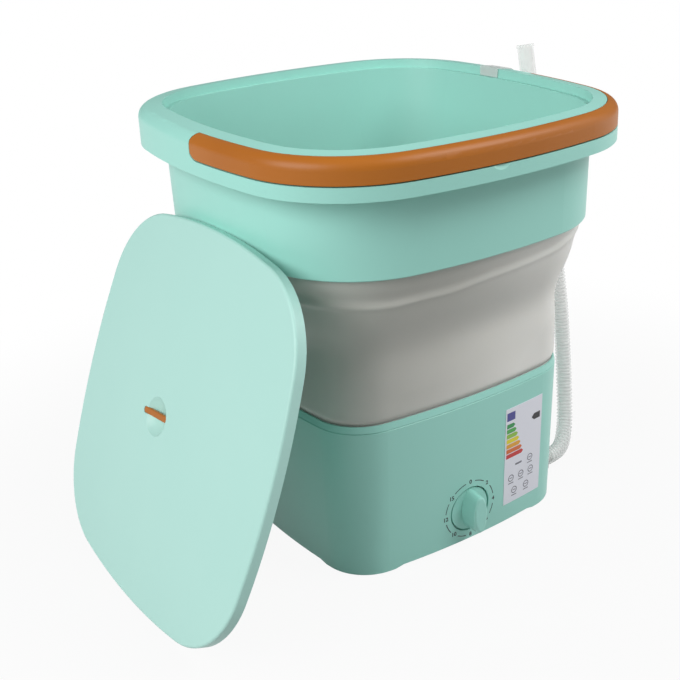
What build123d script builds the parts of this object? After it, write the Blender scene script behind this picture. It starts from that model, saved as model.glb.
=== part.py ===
from build123d import *
from math import cos, degrees, radians, sin, sqrt, tan
import os

# Foldable washing machine. Z is up, the dial is on the front (-Y), the lid leans on the left (-X)
# and the drain hose hangs on the right (+X). Sizes are in millimetres, angles in degrees.
# Every plan outline is a square with bulged sides and round corners, given by its half width.

# Clearances
REST_GAP = 0.3            # between seats of pieces on different bodies
JOIN_GAP = 0.15           # between pieces screwed or snapped together
RUN_GAP = 0.06            # radial, a shaft in its bore
WALL = 2.5                # moulded wall
CUT = 4.0                 # how far a cutter runs past a face

# Rim and upper tub
RIM_OUTER = 198.0         # half width over the rim
RIM_WIDTH = 23.0          # from the crest's inner edge to the outside
RIM_BULGE = 453.0         # distance from the centre to a side arc's centre
RIM_CORNER_DROP = 87.0    # half width less corner radius
RIM_TOP = 414.5
CREST = 1.8               # how far the crest stands over the outer round
RIM_ROUND = 10.0
RIM_HEIGHT = 36.7
BAND_DEPTH = 8.8          # from the crest down to the lid ledge
BAND_DRAFT = 1.0
LEDGE_WIDTH = 4.5
RIM_OVERHANG = 20.6       # from the tub's wall to the rim's outside
TUB_TAPER = 1.9           # how much the outer wall narrows downwards
TUB_CORNER_DROP = 73.0
TUB_HEIGHT = 111.3        # from the tub's lower edge to the crest
TUB_CHAMFER = 1.0
INNER_DRAFT = 9.5         # how much the inner wall narrows downwards
LIP_HEIGHT = 6.0
LIP_GAP = 0.4

# Handle
HANDLE_HEIGHT = 21.2
HANDLE_WIDTH = 9.8
HANDLE_GAP = 1.3          # from the handle down to its channel's floor
PIVOT_Y = -19.5
PIVOT_DROP = 7.5          # from the handle's top down to its pins' axis
PIN_R = 3.0
PIN_HEAD_R = 4.8
PIN_HEAD = 2.0
PIN_BITE = 5.0            # how far the pin runs into the handle

# Thumb notch, a shallow round scoop in the channel's lip under the handle
NOTCH_X = -15.0
NOTCH_WIDTH = 19.0
NOTCH_HEIGHT = 4.5
NOTCH_DEPTH = 2.2

# Bellows, from its foot in the base up to its collar in the tub. A step is a share of the height
# between base and tub, and a share of the width between the bellows' neck and its collar.
BELLOWS_WALL = 2.0
COLLAR_INSET = 5.3        # from the tub's lower edge in to the collar
COLLAR_HEIGHT = 7.8
NECK_INSET = 0.4          # from the base's seam in to the neck
FOOT_INSET = 3.2          # from the base's seam in to the foot
FOOT_RISE = 1.5           # how far the foot stands over the base's ring
BELLOWS_STEPS = [
    (0.992, 0.989),
    (0.924, 0.903),
    (0.849, 0.787),
    (0.774, 0.679),
    (0.664, 0.459),
    (0.562, 0.224),
    (0.473, 0.071),
    (0.398, 0.015),
    (0.255, 0.000),
    (0.064, 0.000),
]

# Base
BASE_TOP = 143.8          # half width at the seam
BASE_TAPER = 4.7          # how much the housing narrows downwards
BASE_BULGE = 580.0
BASE_CORNER_DROP = 92.7
SEAM_Z = 150.3
RING_HEIGHT = 6.3
RING_TAPER = 1.4
SEAM_GROOVE = 0.6         # bevel on both sides of the seam, which makes a fine groove
BASE_LIFT = 0.3           # the housing clears the floor, the rubber feet carry it
ARCH_HALF = 78.0          # half length of the raised edge between two corner feet
ARCH_HEIGHT = 2.4
ARCH_SLOPE = 9.0
FOOT_R = 10.0
FOOT_PLACE = 96.0
COVER_Z = 3.0
COVER_THICK = 2.5
COVER_SEAT = 3.0          # height of the lip that the cover is screwed to
COVER_SEAT_WIDTH = 10.0
COVER_SCREW_INSET = 11.0
COVER_SCREW_ALONG = 50.0  # on the left and right
COVER_SCREW_ACROSS = 70.0  # on the front and back
COVER_BOSS_R = 5.0
COVER_BOSS = 11.0
VENT_ROWS = 7
VENT_LENGTH = 56.0
VENT_WIDTH = 3.0
VENT_PITCH = 8.0

# Wash basin
BASIN_INSET = 5.5         # from the base's seam in to the basin's rim
BASIN_TAPER = 6.3
BASIN_RISE = 2.7          # how far the basin stands over the seam
BASIN_FLOOR = 82.0        # underside
BASIN_FLOOR_THICK = 3.0
LEDGE_DROP = 10.1         # from the seam down to the ledge that the basin hangs on
LEDGE_HEIGHT = 6.0
FLANGE_THICK = 3.0
FLANGE_WIDTH = 2.0
BASIN_RIBS = 8
RIB_THICK = 2.4
RIB_DROP = 5.0
BOSS_R = 4.5
BOSS_DROP = 6.0           # the screw bosses under the basin's floor

# Drive
SHAFT_R = 5.0
SHAFT_LOW = 10.5
BEARING_R = 11.0
BEARING_WIDTH = 7.0
HOUSING_R = 15.0
HOUSING_FLANGE = 12.0     # how far its flange stands out
HOUSING_LOW = 34.0
PLATE_THICK = 3.0         # the housing's flange and the motor's bracket
PULSATOR_R = 98.0
PULSATOR_GAP = 4.0        # over the basin's floor
PULSATOR_THICK = 4.0
PULSATOR_EDGE = 8.0       # height of its turned-up edge
PULSATOR_HUB_R = 20.0
PULSATOR_HUB = 14.0
VANE_COUNT = 4
VANE_HEIGHT = 12.0
VANE_WIDTH = 12.0
WATER_HOLE_R = 2.5
WATER_RINGS = (40.0, 60.0, 80.0)
WATER_HOLE_PITCH = 31.0
PULLEY_Z = 13.0
PULLEY_WIDTH = 12.0
PULLEY_FLANGE = 1.5
DRIVEN_R = 45.0
DRIVER_R = 12.0
WINDOW_R = 9.0
WINDOW_PLACE = 27.0
BELT_THICK = 2.0
MOTOR_Y = 82.0
MOTOR_R = 37.0
MOTOR_HEIGHT = 40.6
MOTOR_BOSS_R = 10.0
MOTOR_SHAFT_R = 4.0
BRACKET_PITCH = 88.0
BRACKET_MARGIN = 7.0
BRACKET_HALF = 14.0       # from the motor's middle to its bracket's screws
BRACKET_HOLE_R = 14.0
BRACKET_LEG = 26.0
CAPACITOR_R = 16.0
CAPACITOR_HEIGHT = 50.0
CAPACITOR_X = -82.0
CAPACITOR_Y = 50.0
SCREW_R = 2.0
SCREW_HEAD_R = 3.8
SCREW_HEAD = 2.2
SCREW_BITE = 5.0          # how far a screw runs into its boss

# Dial and timer
DIAL_X = -1.3
DIAL_Z = 36.0
DISH_GAP = 1.8            # between the knob and its dish
DISH_DEPTH = 5.0
KNOB_R = 21.8
KNOB_DISC = 4.0
KNOB_REACH = 17.0
KNOB_GRIP_WIDTH = 19.5
KNOB_GRIP_DRAFT = 1.9     # how much the grip narrows outwards, all round
KNOB_ROUND = 2.5
KNOB_SHAFT_R = 3.0
SHAFT_HOLE_GAP = 1.0
TIMER_SIZE = 44.0
TIMER_DEPTH = 26.0
TIMER_BORE = 8.0

# Label
LABEL_X = 68.3
LABEL_Z = 74.5
LABEL_WIDTH = 51.5
LABEL_HEIGHT = 107.0
LABEL_THICK = 0.3

# Drain
DRAIN_X = 92.0            # the grate's place in the basin floor
DRAIN_Y = -90.0
DRAIN_R = 8.5             # outer radius of the drain pipe
DRAIN_WALL = 1.8
DRAIN_Z = 17.0            # height of the spout
NIPPLE = 10.0
NIPPLE_GAP = 0.2
NUT_R = 12.5
NUT_THICK = 5.0
NUT_STAND = 1.6           # the flat nut clears the bulged wall
NUT_TO_HOSE = 1.4
GRATE_R = 15.0
GRATE_THICK = 2.0
GRATE_SUNK = 1.5
GRATE_SLOTS = 5
GRATE_SLOT = (16.0, 2.0)
GRATE_PITCH = 4.0

# Drain hose: a ribbed tube from the spout up to its cuff at the rim
HOSE_R = 8.5
HOSE_VALLEY_R = 7.3
HOSE_BORE_R = 6.2
RIB_PITCH = 3.7
CUFF_STAND = 10.0         # from the rim's outside to the cuff's axis
HOSE_POINTS = [           # out from the cuff, across, up
    (-48.0, -90.0, 17.0),
    (-33.5, -85.5, 21.5),
    (-21.0, -76.0, 33.0),
    (-11.5, -66.0, 54.0),
    (-5.7, -58.0, 83.0),
    (-2.0, -51.0, 117.0),
    (-0.2, -44.5, 157.0),
    (0.3, -36.5, 202.0),
    (0.3, -26.0, 247.0),
    (0.1, -14.5, 290.0),
    (0.0, -3.6, 328.0),
]
HOSE_LAST_RUN = 30.6
CUFF_Y = 9.5
CUFF_DROP = 26.5          # from the crest down to the cuff's low end
CUFF_LEAN = 11.0
CUFF_LENGTH = 49.0
CUFF_R = 8.4
CUFF_BORE_R = 6.5
CUFF_LIP_R = 9.2
CUFF_LIP = 3.0

# Hose clip over the rim
CLIP_TO_CUFF = 24.9       # from the cuff's low end to the clip's middle
CLIP_WIDTH = 25.4
CLIP_THICK = 1.0
CLIP_RISE = 5.0           # from the cuff's low end up to the clip's ring
CLIP_RING_HEIGHT = 8.0

# Lid, which drops into the rim's band and here leans on the tub's left wall
LID_EASE = 0.8            # between the lid's edge and the band
LID_THICK = 10.4
LID_SKIN = 2.2
LID_ROUND = 2.5
LID_BACK = 1.8
LID_RIBS = 5              # each way
LID_RIB_PITCH = 55.0
LID_RIB_THICK = 1.6
LID_RIB_END = 6.0
LID_LEAN = 20.5
LID_GAP = 0.4
LID_Y = -18.7
FINGER_R = 18.0           # the finger dish's edge, a shallow bowl
FINGER_X = -22.0
FINGER_Y = -7.5
FINGER_DEPTH = 7.0
GRIP_X = -25.3
GRIP_Y = -6.5
GRIP_LENGTH = 42.6
GRIP_WIDTH = 6.0
GRIP_THICK = 3.0
GRIP_TURN = 6.0
GRIP_ROUND = 1.0

# Power inlet at the back
INLET_X = -60.0
INLET_Z = 34.0
INLET_R = 8.0
INLET_FLANGE = 3.0
INLET_DEPTH = 14.0
INLET_BORE_R = 3.2
INLET_STAND = 1.2         # the flat flange clears the bulged wall

NODES = {}


def outline(half, bulge, corner, z=0.0):
    """A face at height z: four side arcs joined by four corner arcs."""
    side = half + bulge
    reach = side - corner
    centre = (sqrt(2 * reach ** 2 - bulge ** 2) - bulge) / 2
    touch_far = side * (centre + bulge) / reach - bulge
    touch_near = side * centre / reach
    diagonal = centre + corner / sqrt(2)
    arcs = []
    for turn in range(4):
        quarter = Rot(0, 0, 90 * turn)
        side_arc = ThreePointArc((touch_far, -touch_near), (half, 0), (touch_far, touch_near))
        corner_arc = ThreePointArc((touch_far, touch_near), (diagonal, diagonal), (touch_near, touch_far))
        arcs += [quarter * side_arc, quarter * corner_arc]
    return Pos(0, 0, z) * make_face(Curve() + arcs)


def rim_plan(half, z=0.0):
    """The rim's family of parallel outlines."""
    return outline(half, RIM_BULGE, half - RIM_CORNER_DROP, z)


def tub_plan(half, z=0.0):
    """The upper tub wall's outlines, rounder at the corners than the rim."""
    return outline(half, RIM_BULGE, half - TUB_CORNER_DROP, z)


def base_plan(half, z=0.0):
    """The base's outlines, flatter at the sides and tighter at the corners."""
    return outline(half, BASE_BULGE, half - BASE_CORNER_DROP, z)


def tower(plan, *steps):
    """A solid through outlines at (height, half width) steps, straight between them."""
    return loft([plan(half, z) for z, half in steps], ruled=True)


def disc(radius, low, high, x=0.0, y=0.0):
    """An upright cylinder between two heights."""
    return Pos(x, y, low) * extrude(Circle(radius), high - low)


def tube(outer, bore, low, high, x=0.0, y=0.0):
    """An upright pipe between two heights."""
    return disc(outer, low, high, x, y) - disc(bore, low - CUT, high + CUT, x, y)


def block(low, high):
    """A box between two opposite corners."""
    size = [high[i] - low[i] for i in range(3)]
    middle = [(high[i] + low[i]) / 2 for i in range(3)]
    return Pos(*middle) * Box(*size)


def screw(head_z, length, x, y, down=True):
    """A pan-head screw with its head's seat at head_z."""
    way = 1 if down else -1
    head = disc(SCREW_HEAD_R, 0, SCREW_HEAD)
    shank = disc(SCREW_R, -length, 0)
    return Pos(x, y, head_z) * (Rot(0 if way > 0 else 180, 0, 0) * (head + shank))


def keep(name, *solids):
    """Files one or more solids under a node's name."""
    NODES[name] = list(solids)


# Shared places worked out from the sizes above
RIM_INNER = RIM_OUTER - RIM_WIDTH
RIM_SHOULDER = RIM_TOP - CREST
RIM_BOTTOM = RIM_TOP - RIM_HEIGHT
BAND_HALF = RIM_INNER - BAND_DRAFT
LID_SEAT_Z = RIM_TOP - BAND_DEPTH
MOUTH_HALF = BAND_HALF - LEDGE_WIDTH
INNER_LOW = MOUTH_HALF - INNER_DRAFT
TUB_WALL_TOP = RIM_OUTER - RIM_OVERHANG
TUB_WALL_LOW = TUB_WALL_TOP - TUB_TAPER
TUB_BOTTOM = RIM_TOP - TUB_HEIGHT
HANDLE_TOP = RIM_SHOULDER
HANDLE_LOW = HANDLE_TOP - HANDLE_HEIGHT
HANDLE_INNER = RIM_OUTER - HANDLE_WIDTH
PIVOT_Z = HANDLE_TOP - PIVOT_DROP
HANDLE_TIP_R = PIVOT_DROP * sqrt(2)
HANDLE_HEEL_R = PIVOT_Z - HANDLE_LOW
CHANNEL_HALF = HANDLE_INNER - 2 * REST_GAP
CHANNEL_Z = HANDLE_LOW - HANDLE_GAP
CHANNEL_TIP_R = HANDLE_TIP_R + 2 * REST_GAP
NOTCH_RISE = ((NOTCH_WIDTH / 2) ** 2 - NOTCH_HEIGHT ** 2) / (2 * NOTCH_HEIGHT)
NOTCH_STAND = ((NOTCH_WIDTH / 2) ** 2 - NOTCH_DEPTH ** 2) / (2 * NOTCH_DEPTH)
NOTCH_R = sqrt((NOTCH_RISE + NOTCH_HEIGHT) ** 2 + NOTCH_STAND ** 2)
COLLAR_HALF = TUB_WALL_LOW - COLLAR_INSET
COLLAR_TOP = TUB_BOTTOM + COLLAR_HEIGHT
BASE_LOW = BASE_TOP - BASE_TAPER
RING_TOP = SEAM_Z + RING_HEIGHT
NECK_HALF = BASE_TOP - NECK_INSET
FOOT_HALF = BASE_TOP - FOOT_INSET
LEDGE_Z = SEAM_Z - LEDGE_DROP
COVER_TOP = COVER_Z + COVER_THICK
BASIN_RIM = BASE_TOP - BASIN_INSET
BASIN_FOOT = BASIN_RIM - BASIN_TAPER
BASIN_LEDGE = BASIN_RIM + REST_GAP
FLOOR_TOP = BASIN_FLOOR + BASIN_FLOOR_THICK
PLATE_TOP = BASIN_FLOOR - BOSS_DROP - JOIN_GAP
PLATE_LOW = PLATE_TOP - PLATE_THICK
PULSATOR_Z = FLOOR_TOP + PULSATOR_GAP
MOTOR_HIGH = PLATE_LOW - JOIN_GAP
MOTOR_LOW = MOTOR_HIGH - MOTOR_HEIGHT
DISH_R = KNOB_R + DISH_GAP
CUFF_X = RIM_OUTER + CUFF_STAND
CUFF_Z = RIM_TOP - CUFF_DROP
CLIP_Y = CUFF_Y + CLIP_TO_CUFF
CLIP_Z = CUFF_Z + CLIP_RISE
LID_HALF = BAND_HALF - LID_EASE
LID_MIDDLE_Z = LID_HALF * cos(radians(LID_LEAN)) + LID_THICK / 2 * sin(radians(LID_LEAN))


def base_half(z):
    """The housing's outer half width at a height."""
    return BASE_LOW + BASE_TAPER * z / SEAM_Z


def tub_half(z):
    """The upper tub's outer half width at a height."""
    return TUB_WALL_LOW + TUB_TAPER * (z - TUB_BOTTOM) / (RIM_BOTTOM - TUB_BOTTOM)


def mouth_half(z):
    """The inner wall's half width at a height."""
    low = TUB_BOTTOM - CUT
    return INNER_LOW + INNER_DRAFT * (z - low) / (LID_SEAT_Z + 1 - low)


def wall_reach(across, z):
    """How far out the housing's bulged wall stands, at a distance across it and a height."""
    return sqrt((base_half(z) + BASE_BULGE) ** 2 - across ** 2) - BASE_BULGE


FACE_Y = -base_half(DIAL_Z)
NUT_X = wall_reach(DRAIN_Y, DRAIN_Z) + NUT_STAND
SPOUT_X = NUT_X + NUT_THICK + NUT_TO_HOSE


def rim_block(low, grow=0.0):
    """The rim's full outer form down to a height, with its round shoulder and low crest."""
    outer, top = RIM_OUTER + grow, RIM_SHOULDER + grow
    body = tower(rim_plan, (low, outer), (top, outer))
    body = fillet(body.faces().sort_by(Axis.Z)[-1].edges(), RIM_ROUND + grow - 0.05)
    crest = HANDLE_INNER - 0.5
    return body + tower(rim_plan, (top - 1, crest), (top, crest), (RIM_TOP + grow, RIM_INNER - 2))


def rim_reach(half, across):
    """How far out a side of the rim's plan stands, at a distance across it."""
    return sqrt((half + RIM_BULGE) ** 2 - across ** 2) - RIM_BULGE


def pivot_rod(radius, reach):
    """A cylinder along X about the handle's pivot."""
    return Pos(0, PIVOT_Y, PIVOT_Z) * (Rot(0, 90, 0) * Cylinder(radius, 2 * reach))


def arm_end(tip, heel, reach):
    """The handle's end behind the pivot: it turns about the pivot clear of the rim behind it."""
    lower = block((-reach, PIVOT_Y - 1, PIVOT_Z - heel - 1), (reach, PIVOT_Y + tip, PIVOT_Z))
    return pivot_rod(tip, reach) + (pivot_rod(heel, reach) & lower)


def make_upper_tub():
    """The ring with the rim, lid ledge, outer wall and inner wall, hollow from below."""
    far = RIM_OUTER + CUT
    outer_top = tub_half(RIM_BOTTOM + WALL)
    body = rim_block(RIM_BOTTOM)
    wall = tower(tub_plan, (TUB_BOTTOM, TUB_WALL_LOW - TUB_CHAMFER),
                 (TUB_BOTTOM + TUB_CHAMFER, TUB_WALL_LOW), (RIM_BOTTOM + WALL, outer_top))
    body += wall
    # The lid's seat and the tub's mouth
    body -= tower(rim_plan, (LID_SEAT_Z, BAND_HALF), (RIM_TOP, RIM_INNER), (RIM_TOP + CUT, RIM_INNER))
    body -= tower(rim_plan, (TUB_BOTTOM - CUT, INNER_LOW), (LID_SEAT_Z + 1, MOUTH_HALF))
    # The handle's channel, open above the pivot so that the arms can rise
    front = block((-far, -far, CHANNEL_Z), (far, PIVOT_Y, RIM_TOP + CUT))
    above = block((-far, PIVOT_Y - 1, PIVOT_Z), (far, PIVOT_Y + PIVOT_DROP + 2 * REST_GAP, RIM_TOP + CUT))
    channel = front + above + arm_end(CHANNEL_TIP_R, PIVOT_Z - CHANNEL_Z, far)
    inside = tower(rim_plan, (CHANNEL_Z - 2 * CUT, CHANNEL_HALF), (RIM_TOP + 2 * CUT, CHANNEL_HALF))
    body -= channel & (tower(rim_plan, (CHANNEL_Z - CUT, far), (RIM_TOP + CUT, far)) - inside)
    # Hollows of the moulding, all open from below
    inner_skin = tower(rim_plan, (TUB_BOTTOM - CUT, INNER_LOW + WALL), (LID_SEAT_Z, MOUTH_HALF + WALL))
    body -= tower(tub_plan, (TUB_BOTTOM - CUT, COLLAR_HALF + LIP_GAP),
                  (TUB_BOTTOM + LIP_HEIGHT, COLLAR_HALF + LIP_GAP)) - inner_skin
    body -= tower(tub_plan, (TUB_BOTTOM + LIP_HEIGHT - 1, TUB_WALL_LOW - WALL),
                  (LID_SEAT_Z - WALL, TUB_WALL_LOW - WALL)) - inner_skin
    core = BAND_HALF + WALL + 1
    under = tower(rim_plan, (RIM_BOTTOM - CUT, RIM_OUTER - WALL), (CHANNEL_Z - WALL, RIM_OUTER - WALL))
    under += tower(rim_plan, (RIM_BOTTOM - CUT, CHANNEL_HALF - WALL),
                   (RIM_SHOULDER - WALL, CHANNEL_HALF - WALL))
    shoulder = tower(rim_plan, (RIM_BOTTOM, RIM_OUTER - WALL), (RIM_SHOULDER - RIM_ROUND, RIM_OUTER - WALL),
                     (RIM_SHOULDER - WALL, RIM_OUTER - RIM_ROUND))
    behind = PIVOT_Y + CHANNEL_TIP_R + WALL
    under += shoulder & block((-far, behind, RIM_BOTTOM), (far, far, RIM_TOP))
    body -= under - tower(tub_plan, (RIM_BOTTOM - 2 * CUT, TUB_WALL_TOP), (RIM_TOP, TUB_WALL_TOP)) \
        - tower(rim_plan, (RIM_BOTTOM - 2 * CUT, core), (RIM_TOP, core))
    # Pivot holes and the thumb notch
    solid_inside = block((-core - 1, -far, RIM_BOTTOM), (core + 1, far, RIM_TOP + CUT))
    body -= pivot_rod(PIN_R + RUN_GAP, far) - solid_inside
    return body - Pos(NOTCH_X, -RIM_OUTER - NOTCH_STAND, CHANNEL_Z + NOTCH_RISE) * Sphere(NOTCH_R)


def make_handle():
    """The bail that lies in the rim's channel, with blind holes for its pins."""
    far = RIM_OUTER + CUT
    body = rim_block(HANDLE_LOW)
    body -= tower(rim_plan, (HANDLE_LOW - CUT, HANDLE_INNER), (RIM_TOP + CUT, HANDLE_INNER))
    arms = body & block((-far, -far, HANDLE_LOW - 1), (far, PIVOT_Y, HANDLE_TOP))
    behind = block((-far, PIVOT_Y - 0.5, HANDLE_LOW - 1), (far, far, RIM_TOP))
    ends = body & (arm_end(HANDLE_TIP_R, HANDLE_HEEL_R - 0.02, far) & behind)
    body = arms + ends
    for side in (-1, 1):
        hole = Rot(0, 90, 0) * Cylinder(PIN_R + RUN_GAP, 2 * PIN_BITE)
        body -= Pos(side * HANDLE_INNER, PIVOT_Y, PIVOT_Z) * hole
    return body


def make_handle_pins():
    """Two headed pins, pushed out through the rim into the handle's ends."""
    pins = []
    tip = rim_reach(HANDLE_INNER, PIVOT_Y) + PIN_BITE - REST_GAP
    seat = rim_reach(CHANNEL_HALF, abs(PIVOT_Y) + PIN_HEAD_R) - WALL - REST_GAP
    for side in (-1, 1):
        shank = Rot(0, 90, 0) * Cylinder(PIN_R, tip - seat, align=(Align.CENTER, Align.CENTER, Align.MIN))
        head = Rot(0, 90, 0) * Cylinder(PIN_HEAD_R, PIN_HEAD, align=(Align.CENTER, Align.CENTER, Align.MAX))
        pin = Pos(seat, PIVOT_Y, PIVOT_Z) * (shank + head)
        pins.append(pin if side > 0 else Rot(0, 0, 180) * Pos(0, -2 * PIVOT_Y, 0) * pin)
    return pins


def make_bellows():
    """The soft wall between the base and the upper tub."""
    low_z = LEDGE_Z + FLANGE_THICK + REST_GAP
    steps = [(low_z, FOOT_HALF), (RING_TOP + FOOT_RISE, FOOT_HALF)]
    for up, out in BELLOWS_STEPS[::-1]:
        steps.append((RING_TOP + up * (TUB_BOTTOM - RING_TOP), NECK_HALF + out * (COLLAR_HALF - NECK_HALF)))
    steps.append((COLLAR_TOP, COLLAR_HALF))

    def plan(half, z):
        share = min(max((z - SEAM_Z) / (TUB_BOTTOM - SEAM_Z), 0), 1)
        bulge = BASE_BULGE + (RIM_BULGE - BASE_BULGE) * share
        corner = half - BASE_CORNER_DROP + (BASE_CORNER_DROP - TUB_CORNER_DROP) * share
        return outline(half, bulge, corner, z)

    inner_steps = [(z, half - BELLOWS_WALL) for z, half in steps]
    inner_steps = [(low_z - CUT, inner_steps[0][1])] + inner_steps
    inner_steps += [(COLLAR_TOP + CUT, inner_steps[-1][1])]
    return tower(plan, *steps) - tower(plan, *inner_steps)


def make_bellows_upper_ring():
    """The ring that holds the bellows' collar inside the tub's lip."""
    outer = COLLAR_HALF - BELLOWS_WALL - REST_GAP
    low, high = TUB_BOTTOM + 0.8, COLLAR_TOP
    gap = WALL + 2 * REST_GAP
    ring = tower(tub_plan, (low, outer), (high, outer))
    under, over = low - CUT, high + CUT
    return ring - tower(rim_plan, (under, mouth_half(under) + gap), (over, mouth_half(over) + gap))


def make_base_housing():
    """The base's shell, with arched edges between its corner feet and the basin's ledge."""
    edge = SEAM_Z - JOIN_GAP
    shoulder = edge - SEAM_GROOVE
    outer = tower(base_plan, (BASE_LIFT, base_half(BASE_LIFT)), (shoulder, base_half(shoulder)),
                  (edge, base_half(edge) - SEAM_GROOVE))
    hollow = tower(base_plan, (BASE_LIFT - CUT, base_half(-CUT) - WALL),
                   (SEAM_Z + CUT, base_half(SEAM_Z + CUT) - WALL))
    body = outer - hollow
    inside = base_half(LEDGE_Z) - WALL
    ledge = tower(base_plan, (LEDGE_Z - LEDGE_HEIGHT, inside + WALL / 2), (LEDGE_Z, inside + WALL / 2))
    ledge -= tower(base_plan, (LEDGE_Z - LEDGE_HEIGHT - 1, inside + 0.5),
                   (LEDGE_Z - LEDGE_HEIGHT / 2, BASIN_LEDGE), (LEDGE_Z + CUT, BASIN_LEDGE))
    body += ledge
    # Lip that the bottom cover is screwed to, with a boss at each corner screw
    seat_z = COVER_TOP + JOIN_GAP
    seat_in = BASE_LOW - COVER_SEAT_WIDTH
    seat = tower(base_plan, (seat_z, BASE_LOW - WALL / 2), (seat_z + COVER_SEAT, BASE_LOW - WALL / 2))
    seat -= tower(base_plan, (seat_z - CUT, seat_in), (seat_z + COVER_SEAT + CUT, seat_in))
    body += seat
    for x, y in cover_screw_places():
        body += disc(COVER_BOSS_R, seat_z, seat_z + COVER_SEAT + COVER_BOSS, x, y)
        body -= disc(SCREW_R + JOIN_GAP, 0, seat_z + COVER_SEAT + COVER_BOSS - WALL, x, y)
    for turn in range(4):
        end = ARCH_HALF + ARCH_SLOPE
        profile = [(-end, -CUT), (-end, BASE_LIFT), (-ARCH_HALF, ARCH_HEIGHT), (ARCH_HALF, ARCH_HEIGHT),
                   (end, BASE_LIFT), (end, -CUT)]
        arch = extrude(make_face(Polyline(*profile, close=True)), BASE_CORNER_DROP / 3, both=True)
        arch = Pos(0, -BASE_LOW, 0) * Rot(90, 0, 0) * arch
        body -= Rot(0, 0, 90 * turn) * arch
    # Dial dish, timer shaft, spout and inlet holes
    face = face_frame()
    body += face * extrude(Circle(DISH_R + WALL), -(DISH_DEPTH + WALL)) & outer
    body -= face * Pos(0, 0, -DISH_DEPTH) * extrude(Circle(DISH_R), DISH_DEPTH + CUT)
    body -= face * extrude(Circle(KNOB_SHAFT_R + SHAFT_HOLE_GAP), -(DISH_DEPTH + WALL + CUT))
    body -= Pos(BASE_LOW, DRAIN_Y, DRAIN_Z) * (Rot(0, 90, 0) * Cylinder(DRAIN_R + JOIN_GAP, 10 * CUT))
    body -= Pos(INLET_X, BASE_LOW, INLET_Z) * (Rot(90, 0, 0) * Cylinder(INLET_R + JOIN_GAP, 10 * CUT))
    return body


def cover_screw_places():
    """Where the bottom cover's screws stand: two along each side."""
    far = BASE_LOW - COVER_SCREW_INSET
    return [(side * far, y) for side in (-1, 1) for y in (-COVER_SCREW_ALONG, COVER_SCREW_ALONG)] + \
        [(x, side * far) for side in (-1, 1) for x in (-COVER_SCREW_ACROSS, COVER_SCREW_ACROSS)]


def make_base_top_ring():
    """The trim ring on the housing, round the bellows' foot."""
    ring = tower(base_plan, (SEAM_Z, BASE_TOP - SEAM_GROOVE), (SEAM_Z + SEAM_GROOVE, BASE_TOP),
                 (RING_TOP, BASE_TOP - RING_TAPER))
    inner = FOOT_HALF + REST_GAP
    return ring - tower(base_plan, (SEAM_Z - CUT, inner), (RING_TOP + CUT, inner))


def make_bottom_cover():
    """The plate under the base, with vent slots and counterbored screw holes."""
    half = BASE_LOW - WALL - REST_GAP - 2 * RUN_GAP - REST_GAP
    body = tower(base_plan, (COVER_Z, half), (COVER_TOP, half))
    for x, y in cover_screw_places():
        body -= disc(SCREW_R + JOIN_GAP, 0, COVER_TOP + CUT, x, y)
    for row in range(VENT_ROWS):
        y = MOTOR_Y + VENT_PITCH * (row - (VENT_ROWS - 1) / 2)
        body -= Pos(0, y, COVER_Z) * Box(VENT_LENGTH, VENT_WIDTH, 4 * COVER_THICK)
    return body


def make_cover_screws():
    """The screws that hold the bottom cover to the housing."""
    length = COVER_THICK + COVER_SEAT + SCREW_BITE
    return [screw(COVER_Z, length, x, y, down=False) for x, y in cover_screw_places()]


def make_rubber_feet():
    """Four pads under the bottom cover, one behind each corner foot."""
    places = [(x, y) for x in (-FOOT_PLACE, FOOT_PLACE) for y in (-FOOT_PLACE, FOOT_PLACE)]
    return [disc(FOOT_R, 0, COVER_Z, x, y) for x, y in places]


def make_wash_basin():
    """The fixed bowl in the base: its flange hangs on the housing's ledge."""
    outer = tower(base_plan, (BASIN_FLOOR, BASIN_FOOT), (LEDGE_Z, BASIN_RIM),
                  (SEAM_Z + BASIN_RISE, BASIN_RIM))
    hollow = tower(base_plan, (FLOOR_TOP, BASIN_FOOT - WALL), (LEDGE_Z, BASIN_RIM - WALL),
                   (SEAM_Z + BASIN_RISE + CUT, BASIN_RIM - WALL))
    flange_half = BASIN_RIM + FLANGE_WIDTH
    flange = tower(base_plan, (LEDGE_Z, flange_half), (LEDGE_Z + FLANGE_THICK, flange_half))
    body = (outer + flange) - hollow
    # Ribs under the floor from the bearing to the wall
    for turn in range(BASIN_RIBS):
        rib = block((HOUSING_R + BOSS_DROP, -RIB_THICK / 2, BASIN_FLOOR - RIB_DROP),
                    (BASIN_FOOT - HOUSING_R, RIB_THICK / 2, BASIN_FLOOR + 0.5))
        body += Rot(0, 0, 360 / BASIN_RIBS * (turn + 0.5)) * rib
    body -= disc(1.6 * MOTOR_R, BASIN_FLOOR - BOSS_DROP, BASIN_FLOOR, 0, MOTOR_Y)
    # Bearing hole, grate recess, drain hole and the holes for the housing's screws
    body -= disc(HOUSING_R - WALL, BASIN_FLOOR - CUT, FLOOR_TOP + CUT)
    body -= disc(GRATE_R + JOIN_GAP, FLOOR_TOP - GRATE_SUNK, FLOOR_TOP + CUT, DRAIN_X, DRAIN_Y)
    body -= disc(GRATE_R - WALL, BASIN_FLOOR - 2 * CUT, FLOOR_TOP + CUT, DRAIN_X, DRAIN_Y)
    for x, y in housing_screw_places() + bracket_screw_places():
        body += disc(BOSS_R, BASIN_FLOOR - BOSS_DROP, BASIN_FLOOR + 0.5, x, y)
        body -= disc(SCREW_R + JOIN_GAP, BASIN_FLOOR - BOSS_DROP - 1, BASIN_FLOOR + 1, x, y)
    return body


def housing_screw_places():
    """Four screws round the bearing housing's flange."""
    far = HOUSING_R + HOUSING_FLANGE - BOSS_R - JOIN_GAP
    return [(far * cos(radians(a)), far * sin(radians(a))) for a in (0, 90, 180, 270)]


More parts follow.
